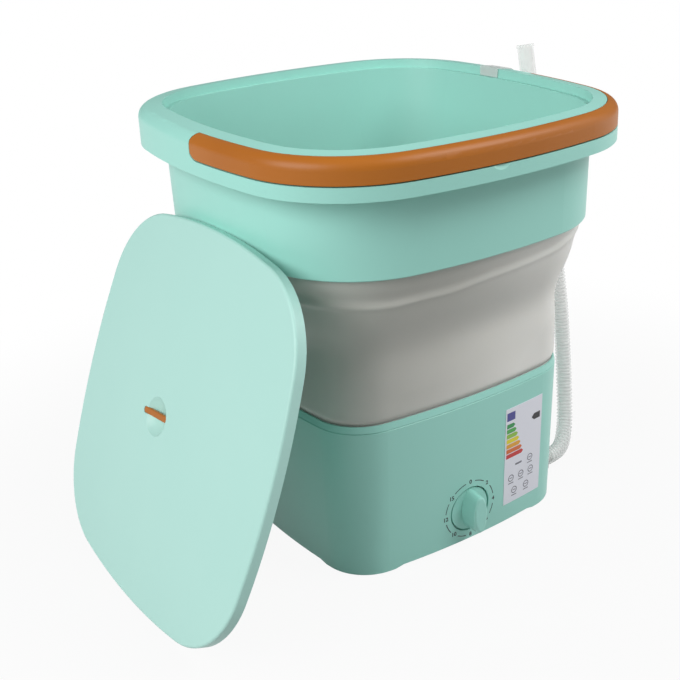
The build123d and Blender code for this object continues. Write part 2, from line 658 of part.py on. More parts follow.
def bracket_screw_places():
    """Four screws at the motor bracket's corners."""
    half = BRACKET_PITCH / 2
    return [(x, MOTOR_Y + y) for x in (-half, half) for y in (-BRACKET_HALF, BRACKET_HALF)]


def make_bearing_housing():
    """The flanged sleeve under the basin that holds both bearings."""
    body = disc(HOUSING_R, HOUSING_LOW, BASIN_FLOOR - JOIN_GAP)
    body += disc(HOUSING_R + HOUSING_FLANGE, PLATE_LOW, PLATE_TOP)
    body -= disc(BEARING_R + JOIN_GAP, HOUSING_LOW - CUT, HOUSING_LOW + BEARING_WIDTH + 1)
    body -= disc(BEARING_R + JOIN_GAP, BASIN_FLOOR - BEARING_WIDTH - 1, BASIN_FLOOR + CUT)
    body -= disc(SHAFT_R + WALL, HOUSING_LOW - CUT, BASIN_FLOOR + CUT)
    for x, y in housing_screw_places():
        body -= disc(SCREW_R + JOIN_GAP, PLATE_LOW - CUT, PLATE_TOP + CUT, x, y)
    return body


def make_housing_screws():
    """Screws up through the bearing housing's flange."""
    return [screw(PLATE_LOW, PLATE_THICK + SCREW_BITE, x, y, down=False) for x, y in housing_screw_places()]


def make_bearings():
    """Two plain ball bearings drawn as rings, seated in the housing's ends."""
    low = HOUSING_LOW + 1
    high = BASIN_FLOOR - BEARING_WIDTH - 1
    return [tube(BEARING_R, SHAFT_R + RUN_GAP, z, z + BEARING_WIDTH) for z in (low, high)]


def make_shaft_seal():
    """The lip seal in the basin's floor, round the shaft."""
    top = FLOOR_TOP + PULSATOR_GAP / 2
    return tube(HOUSING_R - WALL - RUN_GAP, SHAFT_R + RUN_GAP, BASIN_FLOOR + JOIN_GAP, top)


def make_pulsator_shaft():
    """The upright shaft, with a bore for the screw in its top."""
    body = disc(SHAFT_R, SHAFT_LOW, PULSATOR_Z + PULSATOR_HUB - WALL)
    body -= disc(SCREW_R + RUN_GAP, PULSATOR_Z, PULSATOR_Z + PULSATOR_HUB + CUT)
    return body


def make_pulsator():
    """The dished disc with vanes that turns the water."""
    edge, face = PULSATOR_Z + PULSATOR_EDGE, PULSATOR_Z + PULSATOR_THICK
    profile = Polyline((0, PULSATOR_Z), (PULSATOR_R - PULSATOR_EDGE, PULSATOR_Z), (PULSATOR_R, edge - WALL),
                       (PULSATOR_R, edge), (PULSATOR_R - WALL, edge),
                       (PULSATOR_R - PULSATOR_EDGE - WALL, face), (0, face), close=True)
    body = revolve(Rot(90, 0, 0) * make_face(profile), Axis.Z)
    hub = Pos(0, 0, PULSATOR_Z) * extrude(Circle(PULSATOR_HUB_R), PULSATOR_HUB, taper=12)
    body += hub
    for turn in range(VANE_COUNT):
        vane = Pos(PULSATOR_R / 2, 0, PULSATOR_Z + PULSATOR_THICK - 0.5) * extrude(
            SlotOverall(PULSATOR_R - 2 * PULSATOR_EDGE - WALL, VANE_WIDTH), VANE_HEIGHT, taper=14)
        body += Rot(0, 0, 360 * turn / VANE_COUNT) * vane
    body -= disc(SHAFT_R + RUN_GAP, PULSATOR_Z - CUT, PULSATOR_Z + PULSATOR_HUB - WALL + JOIN_GAP)
    body -= disc(SCREW_R + JOIN_GAP, PULSATOR_Z, PULSATOR_Z + PULSATOR_HUB + CUT)
    sector = 360 / VANE_COUNT
    for ring in WATER_RINGS:
        count = int(2 * ring * radians(180) / WATER_HOLE_PITCH)
        for turn in range(count):
            angle = 360 * (turn + 0.5) / count
            off_vane = min(angle % sector, sector - angle % sector)
            if off_vane > degrees((VANE_WIDTH / 2 + 2 * WATER_HOLE_R) / ring):
                place = Rot(0, 0, angle) * Pos(ring, 0, PULSATOR_Z)
                body -= place * Cylinder(WATER_HOLE_R, 4 * PULSATOR_THICK)
    return body


def make_pulsator_screw():
    """The screw that holds the pulsator down on its shaft."""
    return screw(PULSATOR_Z + PULSATOR_HUB, 2 * SCREW_BITE, 0, 0)


def make_pulley(radius, bore, x, y):
    """A flanged belt pulley on an upright shaft."""
    body = disc(radius, PULLEY_Z, PULLEY_Z + PULLEY_WIDTH, x, y)
    for low in (PULLEY_Z, PULLEY_Z + PULLEY_WIDTH - PULLEY_FLANGE):
        body += disc(radius + BELT_THICK, low, low + PULLEY_FLANGE, x, y)
    return body - disc(bore + RUN_GAP, PULLEY_Z - CUT, PULLEY_Z + PULLEY_WIDTH + CUT, x, y)


def make_driven_pulley():
    """The large pulley on the pulsator's shaft, lightened by round windows."""
    body = make_pulley(DRIVEN_R, SHAFT_R, 0, 0)
    for turn in range(6):
        body -= Rot(0, 0, 60 * turn) * disc(WINDOW_R, PULLEY_Z - CUT, PULLEY_Z + PULLEY_WIDTH + CUT,
                                        WINDOW_PLACE, 0)
    return body


def make_motor_pulley():
    """The small pulley on the motor's shaft."""
    return make_pulley(DRIVER_R, MOTOR_SHAFT_R, 0, MOTOR_Y)


def belt_loop(clearance):
    """The face inside a belt that lies at a clearance from both pulleys."""
    big, small = DRIVEN_R + clearance, DRIVER_R + clearance
    lean = (big - small) / MOTOR_Y
    c, s = sqrt(1 - lean ** 2), lean
    left_big, left_small = (-big * c, big * s), (-small * c, MOTOR_Y + small * s)
    right_big, right_small = (big * c, big * s), (small * c, MOTOR_Y + small * s)
    edges = [ThreePointArc(left_big, (0, -big), right_big), Line(right_big, right_small),
             ThreePointArc(right_small, (0, MOTOR_Y + small), left_small), Line(left_small, left_big)]
    return make_face(Curve() + edges)


def make_drive_belt():
    """The flat belt round both pulleys."""
    band = belt_loop(REST_GAP + BELT_THICK) - belt_loop(REST_GAP)
    low = PULLEY_Z + PULLEY_FLANGE + REST_GAP
    return Pos(0, 0, low) * extrude(band, PULLEY_WIDTH - 2 * PULLEY_FLANGE - 2 * REST_GAP)


def make_motor_body():
    """The motor's can, with end bosses and a bore for its shaft."""
    body = disc(MOTOR_R, MOTOR_LOW, MOTOR_HIGH, 0, MOTOR_Y)
    body = chamfer(body.edges().filter_by(GeomType.CIRCLE), 2)
    body += disc(MOTOR_BOSS_R, MOTOR_LOW - WALL, MOTOR_LOW + 1, 0, MOTOR_Y)
    return body - disc(MOTOR_SHAFT_R + RUN_GAP, MOTOR_LOW - CUT, MOTOR_HIGH - 2 * MOTOR_SHAFT_R, 0, MOTOR_Y)


def make_motor_shaft():
    """The motor's shaft, down to its pulley."""
    return disc(MOTOR_SHAFT_R, PULLEY_Z - 1, MOTOR_HIGH - 2 * MOTOR_SHAFT_R - REST_GAP, 0, MOTOR_Y)


def make_motor_bracket():
    """The strap plate that hangs the motor from the basin's bosses."""
    half = BRACKET_PITCH / 2 + BRACKET_MARGIN
    depth = BRACKET_HALF + BRACKET_MARGIN
    body = block((-half, MOTOR_Y - depth, PLATE_LOW), (half, MOTOR_Y + depth, PLATE_TOP))
    body = fillet(body.edges().filter_by(Axis.Z), BRACKET_MARGIN - 1)
    body -= disc(BRACKET_HOLE_R, PLATE_LOW - CUT, PLATE_TOP + CUT, 0, MOTOR_Y)
    for x, y in bracket_screw_places():
        body -= disc(SCREW_R + JOIN_GAP, PLATE_LOW - CUT, PLATE_TOP + CUT, x, y)
    leg_x = MOTOR_R + JOIN_GAP + PLATE_THICK / 2
    for side in (-1, 1):
        leg = Box(PLATE_THICK, BRACKET_LEG, BRACKET_LEG)
        body += Pos(side * leg_x, MOTOR_Y, PLATE_TOP - BRACKET_LEG / 2) * leg
    return body


def make_motor_screws():
    """Screws up through the motor bracket."""
    return [screw(PLATE_LOW, PLATE_THICK + SCREW_BITE, x, y, down=False) for x, y in bracket_screw_places()]


def make_motor_capacitor():
    """The motor's capacitor can, standing on the bottom cover."""
    body = disc(CAPACITOR_R, COVER_TOP, COVER_TOP + CAPACITOR_HEIGHT, CAPACITOR_X, CAPACITOR_Y)
    return fillet(body.edges().filter_by(GeomType.CIRCLE).sort_by(Axis.Z)[-1], 2)


def face_frame():
    """The dial's place on the front face: local Z points out of the machine."""
    return Pos(DIAL_X, FACE_Y, DIAL_Z) * Rot(90, 0, 0)


def make_knob():
    """The dial: a disc in the dish with a tapered grip across it and a blind bore."""
    low = -DISH_DEPTH + REST_GAP
    body = Pos(0, 0, low) * extrude(Circle(KNOB_R), KNOB_DISC)
    foot = Ellipse(KNOB_GRIP_WIDTH / 2, KNOB_R - 0.5)
    crown = Ellipse(KNOB_GRIP_WIDTH / 2 - KNOB_GRIP_DRAFT, KNOB_R - 0.5 - KNOB_GRIP_DRAFT)
    grip = loft([foot, Pos(0, 0, KNOB_REACH - low) * crown], ruled=True)
    grip = fillet(grip.faces().sort_by(Axis.Z)[-1].edges(), KNOB_ROUND)
    body += Pos(0, 0, low) * grip
    body -= extrude(Circle(KNOB_SHAFT_R + RUN_GAP), KNOB_REACH - 5) \
        + extrude(Circle(KNOB_SHAFT_R + RUN_GAP), -DISH_DEPTH - CUT)
    return face_frame() * body


def make_timer_shaft():
    """The timer's spindle, from inside the timer into the knob."""
    low = -(DISH_DEPTH + WALL + TIMER_BORE)
    return face_frame() * Pos(0, 0, low) * extrude(Circle(KNOB_SHAFT_R), KNOB_REACH - 5 - REST_GAP - low)


def make_timer_body():
    """The clockwork timer's box against the back of the dial's dish."""
    back = -(DISH_DEPTH + WALL + JOIN_GAP)
    body = Pos(0, 0, back - TIMER_DEPTH / 2) * Box(TIMER_SIZE, TIMER_SIZE, TIMER_DEPTH)
    body = fillet(body.edges().filter_by(Axis.Z), 3)
    bore = -(DISH_DEPTH + WALL + TIMER_BORE + REST_GAP)
    body -= Pos(0, 0, bore) * extrude(Circle(KNOB_SHAFT_R + RUN_GAP), TIMER_BORE + CUT)
    return face_frame() * body


def make_label():
    """The thin plate on the front face beside the dial."""
    low, high = LABEL_Z - LABEL_HEIGHT / 2, LABEL_Z + LABEL_HEIGHT / 2
    skin = tower(base_plan, (low, base_half(low) + LABEL_THICK), (high, base_half(high) + LABEL_THICK))
    under = tower(base_plan, (low - 1, base_half(low - 1) + 0.02), (high + 1, base_half(high + 1) + 0.02))
    left, right = LABEL_X - LABEL_WIDTH / 2, LABEL_X + LABEL_WIDTH / 2
    return (skin - under) & block((left, -BASE_TOP - CUT, low), (right, -BASE_LOW / 2, high))


def make_drain_grate():
    """The slotted strainer in the basin's floor."""
    low = FLOOR_TOP - GRATE_SUNK
    body = disc(GRATE_R, low, low + GRATE_THICK, DRAIN_X, DRAIN_Y)
    for row in range(GRATE_SLOTS):
        y = DRAIN_Y + GRATE_PITCH * (row - (GRATE_SLOTS - 1) / 2)
        body -= Pos(DRAIN_X, y, FLOOR_TOP) * Box(*GRATE_SLOT, 2 * CUT)
    return body


def drain_run(radius, low_x, high_x, top):
    """The drain's elbow: down from the floor, then out to the right."""
    down = disc(radius, DRAIN_Z, top, DRAIN_X, DRAIN_Y)
    out = Pos(low_x, DRAIN_Y, DRAIN_Z) * (Rot(0, 90, 0) * Cylinder(
        radius, high_x - low_x, align=(Align.CENTER, Align.CENTER, Align.MIN)))
    return down + out + Pos(DRAIN_X, DRAIN_Y, DRAIN_Z) * Sphere(radius)


def make_drain_pipe():
    """The flanged elbow under the basin, its spout and the nipple that the hose is pushed on."""
    top = BASIN_FLOOR - JOIN_GAP
    nipple = HOSE_BORE_R - NIPPLE_GAP
    body = drain_run(DRAIN_R, DRAIN_X, SPOUT_X, top)
    body += disc(GRATE_R + WALL, top - WALL, top, DRAIN_X, DRAIN_Y)
    body += Pos(SPOUT_X, DRAIN_Y, DRAIN_Z) * (Rot(0, 90, 0) * Cylinder(nipple, 2 * NIPPLE))
    return body - drain_run(nipple - DRAIN_WALL, DRAIN_X, SPOUT_X + NIPPLE + CUT, top + CUT)


def make_spout_nut():
    """The hexagonal nut on the spout, against the base's wall."""
    nut = extrude(RegularPolygon(NUT_R, 6) - Circle(DRAIN_R + RUN_GAP), NUT_THICK)
    return Pos(NUT_X, DRAIN_Y, DRAIN_Z) * (Rot(0, 90, 0) * nut)


def make_power_inlet():
    """The gland in the back wall where the mains lead enters."""
    gland = extrude(Circle(INLET_R), -INLET_DEPTH) + extrude(Circle(INLET_R + INLET_FLANGE), INLET_FLANGE)
    gland -= extrude(Circle(INLET_BORE_R), INLET_DEPTH + CUT, both=True)
    back = wall_reach(INLET_X, INLET_Z) + INLET_STAND
    return Pos(INLET_X, back, INLET_Z) * (Rot(-90, 0, 0) * gland)


def cuff_frame():
    """The cuff's low end: local Z runs up its leaning axis."""
    return Pos(CUFF_X, CUFF_Y, CUFF_Z) * Rot(-CUFF_LEAN, 0, 0)


def make_hose_cuff():
    """The smooth end of the drain hose, with a lip at its mouth."""
    body = extrude(Circle(CUFF_R), CUFF_LENGTH) + Pos(0, 0, CUFF_LENGTH - CUFF_LIP) * extrude(
        Circle(CUFF_LIP_R), CUFF_LIP)
    return cuff_frame() * (body - extrude(Circle(CUFF_BORE_R), CUFF_LENGTH + CUT))


def hose_path():
    """The hose's route: out of the spout, up beside the base and on to the cuff."""
    lean = radians(CUFF_LEAN)
    last = (CUFF_X, CUFF_Y - HOSE_LAST_RUN * sin(lean), CUFF_Z - HOSE_LAST_RUN * cos(lean))
    middle = [(CUFF_X + out, across, up) for out, across, up in HOSE_POINTS]
    points = [Vector(*p) for p in [(SPOUT_X, DRAIN_Y, DRAIN_Z)] + middle + [last, (CUFF_X, CUFF_Y, CUFF_Z)]]
    runs = [points[i + 1] - points[i] for i in range(len(points) - 1)]
    radii = []
    for before, after in zip(runs, runs[1:]):
        half_turn = radians(before.get_angle(after)) / 2
        radii.append(0.45 * min(before.length, after.length) / tan(half_turn))
    return FilletPolyline(*points, radius=radii)


def make_drain_hose():
    """The ribbed drain hose with its bore."""
    path = hose_path()
    ribs = int(path.length / RIB_PITCH)
    pitch = path.length / ribs
    outer = []
    bore = []

    def ring(radius, distance):
        share = min(max(distance / path.length, 0.0), 1.0)
        return Plane(path @ share, x_dir=(0, -1, 0), z_dir=path % share) * Circle(radius)

    for rib in range(ribs):
        start = rib * pitch
        for share, radius in ((0.0, HOSE_VALLEY_R), (0.22, HOSE_R), (0.62, HOSE_R), (0.84, HOSE_VALLEY_R)):
            outer.append(ring(radius, start + share * pitch))
        bore.append(ring(HOSE_BORE_R, start))
    outer.append(ring(HOSE_VALLEY_R, path.length))
    bore.append(ring(HOSE_BORE_R, path.length))
    return loft(outer, ruled=True) - loft(bore, ruled=True)


def make_hose_clip():
    """The saddle over the rim, with the ring that holds the cuff."""
    skin = REST_GAP + CLIP_THICK
    outer = rim_block(CLIP_Z, skin)
    outer -= tower(rim_plan, (CLIP_Z - CUT, BAND_HALF - skin), (RIM_TOP + 2 * CUT, BAND_HALF - skin))
    under = rim_block(CLIP_Z - CUT, REST_GAP)
    inside = BAND_HALF - REST_GAP
    under -= tower(rim_plan, (CLIP_Z - 2 * CUT, inside), (RIM_TOP + 2 * CUT, inside))
    strap = (outer - under) & block((0, CLIP_Y - CLIP_WIDTH / 2, CLIP_Z),
                                    (RIM_OUTER + CUT, CLIP_Y + CLIP_WIDTH / 2, RIM_TOP + CUT))
    strap -= block((0, 0, 0), (RIM_INNER + 1, RIM_OUTER, LID_SEAT_Z + REST_GAP))
    top = CLIP_Z + CLIP_RING_HEIGHT
    ring_y = CUFF_Y + (CLIP_Z - CUFF_Z) * tan(radians(CUFF_LEAN))
    bridge = block((RIM_OUTER + REST_GAP, ring_y, CLIP_Z),
                   (RIM_OUTER + REST_GAP + CLIP_THICK, CLIP_Y - CLIP_WIDTH / 2 + 2, top))
    along = (CLIP_Z - CUFF_Z) / cos(radians(CUFF_LEAN)) + 1
    ring = Pos(0, 0, along) * extrude(Circle(CUFF_R + JOIN_GAP + CLIP_THICK), CLIP_RING_HEIGHT - 2)
    body = strap + bridge + cuff_frame() * ring
    return body - cuff_frame() * extrude(Circle(CUFF_R + JOIN_GAP / 2), CUFF_LENGTH)


def lid_frame():
    """The leaning lid's middle: local Z points out of its face, local Y up its slope."""
    lean = radians(LID_LEAN)
    touch = tub_half(LID_MIDDLE_Z + LID_HALF * cos(lean)) + LID_GAP
    x = -touch - LID_HALF * sin(lean) - LID_THICK / 2 * cos(lean)
    return Plane((x, LID_Y, LID_MIDDLE_Z), x_dir=(0, -1, 0), z_dir=(-cos(lean), 0, sin(lean))).location


def grip_form(grow, low, high):
    """The lid grip's round-ended form, grown by an amount, between two heights over the lid's middle."""
    plan = SlotOverall(GRIP_LENGTH + 2 * grow, GRIP_WIDTH + 2 * grow)
    return Pos(GRIP_X, GRIP_Y, low) * Rot(0, 0, GRIP_TURN) * extrude(plan, high - low)


def make_lid_panel():
    """The lid's face and skirt, with ribs behind it and the round finger dish."""
    low, high = -LID_THICK / 2, LID_THICK / 2
    body = tower(rim_plan, (low, LID_HALF), (high, LID_HALF))
    body = fillet(body.faces().sort_by(Axis.Z)[-1].edges(), LID_ROUND)
    inner = LID_HALF - LID_SKIN
    body -= tower(rim_plan, (low - CUT, inner), (high - LID_SKIN, inner))
    rib_low = low + LID_BACK + JOIN_GAP
    reach = inner - LID_RIB_END
    for rib in range(LID_RIBS):
        place = LID_RIB_PITCH * (rib - (LID_RIBS - 1) / 2)
        near, far = place - LID_RIB_THICK / 2, place + LID_RIB_THICK / 2
        bars = block((near, -reach, rib_low), (far, reach, high - LID_SKIN)) \
            + block((-reach, near, rib_low), (reach, far, high - LID_SKIN))
        body += bars & tower(rim_plan, (rib_low, inner + 0.5), (high - LID_SKIN, inner + 0.5))
    body += disc(FINGER_R + LID_BACK, rib_low, high - LID_SKIN + 0.5, FINGER_X, FINGER_Y)
    body += grip_form(LID_BACK, rib_low, high - LID_SKIN + 0.5)
    bowl_r = (FINGER_R ** 2 + FINGER_DEPTH ** 2) / (2 * FINGER_DEPTH)
    body -= Pos(FINGER_X, FINGER_Y, high - FINGER_DEPTH + bowl_r) * Sphere(bowl_r)
    return body - grip_form(JOIN_GAP, high - GRIP_THICK - JOIN_GAP, high + CUT)


def make_lid_back():
    """The flat panel that closes the lid from behind."""
    half = LID_HALF - LID_SKIN - JOIN_GAP
    return tower(rim_plan, (-LID_THICK / 2, half), (-LID_THICK / 2 + LID_BACK, half))


def make_lid_grip():
    """The bar across the finger dish."""
    body = grip_form(0, LID_THICK / 2 - GRIP_THICK, LID_THICK / 2)
    return fillet(body.faces().sort_by(Axis.Z)[-1].edges(), GRIP_ROUND)


def main():
    """Makes every node, moves the set so that its origin is under its middle, and writes it."""
    keep("upper_tub", make_upper_tub())
    keep("handle", make_handle())
    keep("handle_pins", *make_handle_pins())
    keep("bellows", make_bellows())
    keep("bellows_upper_ring", make_bellows_upper_ring())
    keep("base_housing", make_base_housing())
    keep("base_top_ring", make_base_top_ring())
    keep("bottom_cover", make_bottom_cover())
    keep("cover_screws", *make_cover_screws())
    keep("rubber_feet", *make_rubber_feet())
    keep("wash_basin", make_wash_basin())
    keep("bearing_housing", make_bearing_housing())
    keep("bearing_housing_screws", *make_housing_screws())
    keep("shaft_bearings", *make_bearings())
    keep("shaft_seal", make_shaft_seal())
    keep("pulsator_shaft", make_pulsator_shaft())
    keep("pulsator", make_pulsator())
    keep("pulsator_screw", make_pulsator_screw())
    keep("driven_pulley", make_driven_pulley())
    keep("motor_pulley", make_motor_pulley())
    keep("drive_belt", make_drive_belt())
    keep("motor_body", make_motor_body())
    keep("motor_shaft", make_motor_shaft())
    keep("motor_bracket", make_motor_bracket())
    keep("motor_screws", *make_motor_screws())
    keep("motor_capacitor", make_motor_capacitor())
    keep("program_knob", make_knob())
    keep("timer_shaft", make_timer_shaft())
    keep("timer_body", make_timer_body())
    keep("front_label", make_label())
    keep("drain_grate", make_drain_grate())
    keep("drain_pipe", make_drain_pipe())
    keep("spout_nut", make_spout_nut())
    keep("power_inlet", make_power_inlet())
    keep("hose_cuff", make_hose_cuff())
    keep("drain_hose", make_drain_hose())
    keep("hose_clip", make_hose_clip())
    place = lid_frame()
    keep("lid_panel", place * make_lid_panel())
    keep("lid_back", place * make_lid_back())
    keep("lid_grip", place * make_lid_grip())

    boxes = [solid.bounding_box() for solids in NODES.values() for solid in solids]
    shift = -(min(box.min.X for box in boxes) + max(box.max.X for box in boxes)) / 2
    print("shift in X", round(shift, 3))
    os.makedirs("parts", exist_ok=True)
    for name, solids in NODES.items():
        moved = [Pos(shift, 0, 0) * solid for solid in solids]
        export_step(moved[0] if len(moved) == 1 else Compound(children=moved), f"parts/{name}.step")


if __name__ == "__main__":
    main()
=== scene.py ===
"""Scene of a foldable washing machine: finishes, soft parts, printed details and studio."""

import logging
import math
from dataclasses import dataclass
from enum import Enum
from typing import Sequence

import bpy
from mathutils import Matrix, Vector

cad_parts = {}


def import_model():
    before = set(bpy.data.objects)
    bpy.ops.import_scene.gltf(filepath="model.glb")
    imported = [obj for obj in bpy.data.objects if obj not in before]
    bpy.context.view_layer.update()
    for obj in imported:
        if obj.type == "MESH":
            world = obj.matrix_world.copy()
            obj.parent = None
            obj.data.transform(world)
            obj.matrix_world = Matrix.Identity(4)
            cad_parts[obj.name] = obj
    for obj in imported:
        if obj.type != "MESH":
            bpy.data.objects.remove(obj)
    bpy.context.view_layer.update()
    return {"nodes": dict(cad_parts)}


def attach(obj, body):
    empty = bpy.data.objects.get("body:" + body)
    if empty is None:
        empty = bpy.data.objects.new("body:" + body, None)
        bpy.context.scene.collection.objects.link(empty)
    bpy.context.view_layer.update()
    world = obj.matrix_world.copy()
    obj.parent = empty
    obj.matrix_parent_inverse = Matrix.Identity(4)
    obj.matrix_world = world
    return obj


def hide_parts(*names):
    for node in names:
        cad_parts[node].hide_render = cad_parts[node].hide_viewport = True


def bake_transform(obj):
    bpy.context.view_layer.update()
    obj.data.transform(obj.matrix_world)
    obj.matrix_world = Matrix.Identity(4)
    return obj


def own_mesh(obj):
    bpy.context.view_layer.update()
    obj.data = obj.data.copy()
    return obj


LOG = logging.getLogger("washer")
MM = 0.001
SHIFT_X = 44.637
Colour = tuple[float, float, float]
Point = tuple[float, float, float]


def at(x: float, y: float, z: float) -> Vector:
    """Gives a point in the frame.

    Args:
        x: Millimetres to the right of the tub's middle.
        y: Millimetres behind the tub's middle.
        z: Millimetres over the floor.

    Returns:
        The same point in metres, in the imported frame.
    """
    return Vector(((x + SHIFT_X) * MM, y * MM, z * MM))


def smooth(low: float, high: float, value: float) -> float:
    """Gives a soft step from 0 at low to 1 at high."""
    share = min(max((value - low) / (high - low), 0.0), 1.0)
    return share * share * (3 - 2 * share)


def between(stops: Sequence[tuple[float, float]], value: float) -> float:
    """Reads a smooth curve through stops.

    Args:
        stops: Pairs of place and height, in rising order of place.
        value: The place to read.

    Returns:
        The height there, level before the first stop and after the last.
    """
    if value <= stops[0][0]:
        return stops[0][1]
    if value >= stops[-1][0]:
        return stops[-1][1]
    index = next(i for i in range(1, len(stops)) if stops[i][0] >= value)
    x1, y1 = stops[index - 1]
    x2, y2 = stops[index]
    x0, y0 = stops[max(index - 2, 0)]
    x3, y3 = stops[min(index + 1, len(stops) - 1)]
    span = x2 - x1
    slope1 = (y2 - y0) / (x2 - x0) * span
    slope2 = (y3 - y1) / (x3 - x1) * span
    t = (value - x1) / span
    return ((2 * t ** 3 - 3 * t ** 2 + 1) * y1 + (t ** 3 - 2 * t ** 2 + t) * slope1
            + (3 * t ** 2 - 2 * t ** 3) * y2 + (t ** 3 - t ** 2) * slope2)


@dataclass(frozen=True)
class Outline:
    """A square plan with bulged sides and round corners.

    Args:
        half: Half width over the sides, in millimetres.
        bulge: Distance from the middle to a side arc's centre.
        corner: Radius of a corner.
    """

    half: float
    bulge: float
    corner: float

    def points(self, side_steps: int, corner_steps: int) -> list[tuple[float, float]]:
        """Walks round the plan.

        Args:
            side_steps: Points on each side arc.
            corner_steps: Points on each corner arc.

        Returns:
            The plan's points, anticlockwise from the right side.
        """
        side = self.half + self.bulge
        reach = side - self.corner
        centre = (math.sqrt(2 * reach ** 2 - self.bulge ** 2) - self.bulge) / 2
        swing = math.asin(centre / reach)
        quarter = []
        for i in range(side_steps):
            angle = -swing + 2 * swing * i / side_steps
            quarter.append((side * math.cos(angle) - self.bulge, side * math.sin(angle)))
        for i in range(corner_steps):
            angle = swing + (math.pi / 2 - 2 * swing) * i / corner_steps
            quarter.append((centre + self.corner * math.cos(angle), centre + self.corner * math.sin(angle)))
        found = []
        for turn in range(4):
            c, s = round(math.cos(math.pi / 2 * turn)), round(math.sin(math.pi / 2 * turn))
            found += [(c * x - s * y, s * x + c * y) for x, y in quarter]
        return found


def new_piece(name: str, verts: Sequence[Vector], faces: Sequence[Sequence[int]], body: str | None,
              soft: bool = True) -> bpy.types.Object:
    """Makes a mesh piece, and lets it ride on a body.

    Args:
        name: The piece's name.
        verts: Its points in metres.
        faces: Its faces as lists of point numbers.
        body: The body it moves with, or None to leave it on no body.
        soft: Whether its faces are shaded smooth.

    Returns:
        The new object.
    """
    mesh = bpy.data.meshes.new(name)
    mesh.from_pydata([tuple(v) for v in verts], [], [tuple(f) for f in faces])
    mesh.update()
    if soft:
        mesh.shade_smooth()
    piece = bpy.data.objects.new(name, mesh)
    bpy.context.scene.collection.objects.link(piece)
    if body:
        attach(piece, body)
    return piece


def grid_faces(rows: int, columns: int, start: int = 0, flip: bool = False) -> list[list[int]]:
    """Joins rows of points into quads, each row's last point to its first.

    Args:
        rows: How many rows there are.
        columns: Points in each row.
        start: The first point's number.
        flip: Whether the faces look the other way.

    Returns:
        The quads.
    """
    found = []
    for row in range(rows - 1):
        for column in range(columns):
            after = (column + 1) % columns
            quad = [start + row * columns + column, start + row * columns + after,
                    start + (row + 1) * columns + after, start + (row + 1) * columns + column]
            found.append(quad[::-1] if flip else quad)
    return found


def tube_faces(rows: int, columns: int) -> list[list[int]]:
    """Joins the outer rows, then as many inner rows, into a wall with both ends shut.

    Args:
        rows: How many rows there are on each side of the wall.
        columns: Points in each row.

    Returns:
        The quads.
    """
    inner = rows * columns
    last = (rows - 1) * columns
    found = grid_faces(rows, columns) + grid_faces(rows, columns, inner, True)
    for i in range(columns):
        j = (i + 1) % columns
        found.append([j, i, inner + i, inner + j])
        found.append([last + i, last + j, inner + last + j, inner + last + i])
    return found


class Wire:
    """A socket that can be used in sums; each operator adds one Math node."""

    def __init__(self, board: "Board", socket: bpy.types.NodeSocket) -> None:
        """Wraps an output socket of a board."""
        self.board = board
        self.socket = socket

    def maths(self, operation: str, *operands: "Wire | float") -> "Wire":
        """Adds a Math node on these operands."""
        node = self.board.add("ShaderNodeMath", {"operation": operation}, dict(enumerate(operands)))
        return self.board.wire(node, 0)

    def __add__(self, other: "Wire | float") -> "Wire":
        """Adds."""
        return self.maths("ADD", self, other)

    def __radd__(self, other: float) -> "Wire":
        """Adds to a number."""
        return self.maths("ADD", other, self)

    def __sub__(self, other: "Wire | float") -> "Wire":
        """Subtracts."""
        return self.maths("SUBTRACT", self, other)

    def __rsub__(self, other: float) -> "Wire":
        """Subtracts from a number."""
        return self.maths("SUBTRACT", other, self)

    def __mul__(self, other: "Wire | float") -> "Wire":
        """Multiplies."""
        return self.maths("MULTIPLY", self, other)

    def at_most(self, limit: float) -> "Wire":
        """Cuts off what is over a limit."""
        return self.maths("MINIMUM", self, limit)

    def step(self, low: float, high: float) -> "Wire":
        """Rises softly from 0 at low to 1 at high."""
        node = self.board.add("ShaderNodeMapRange", {"interpolation_type": "SMOOTHSTEP"},
                              {"Value": self, "From Min": low, "From Max": high})
        return self.board.wire(node, "Result")


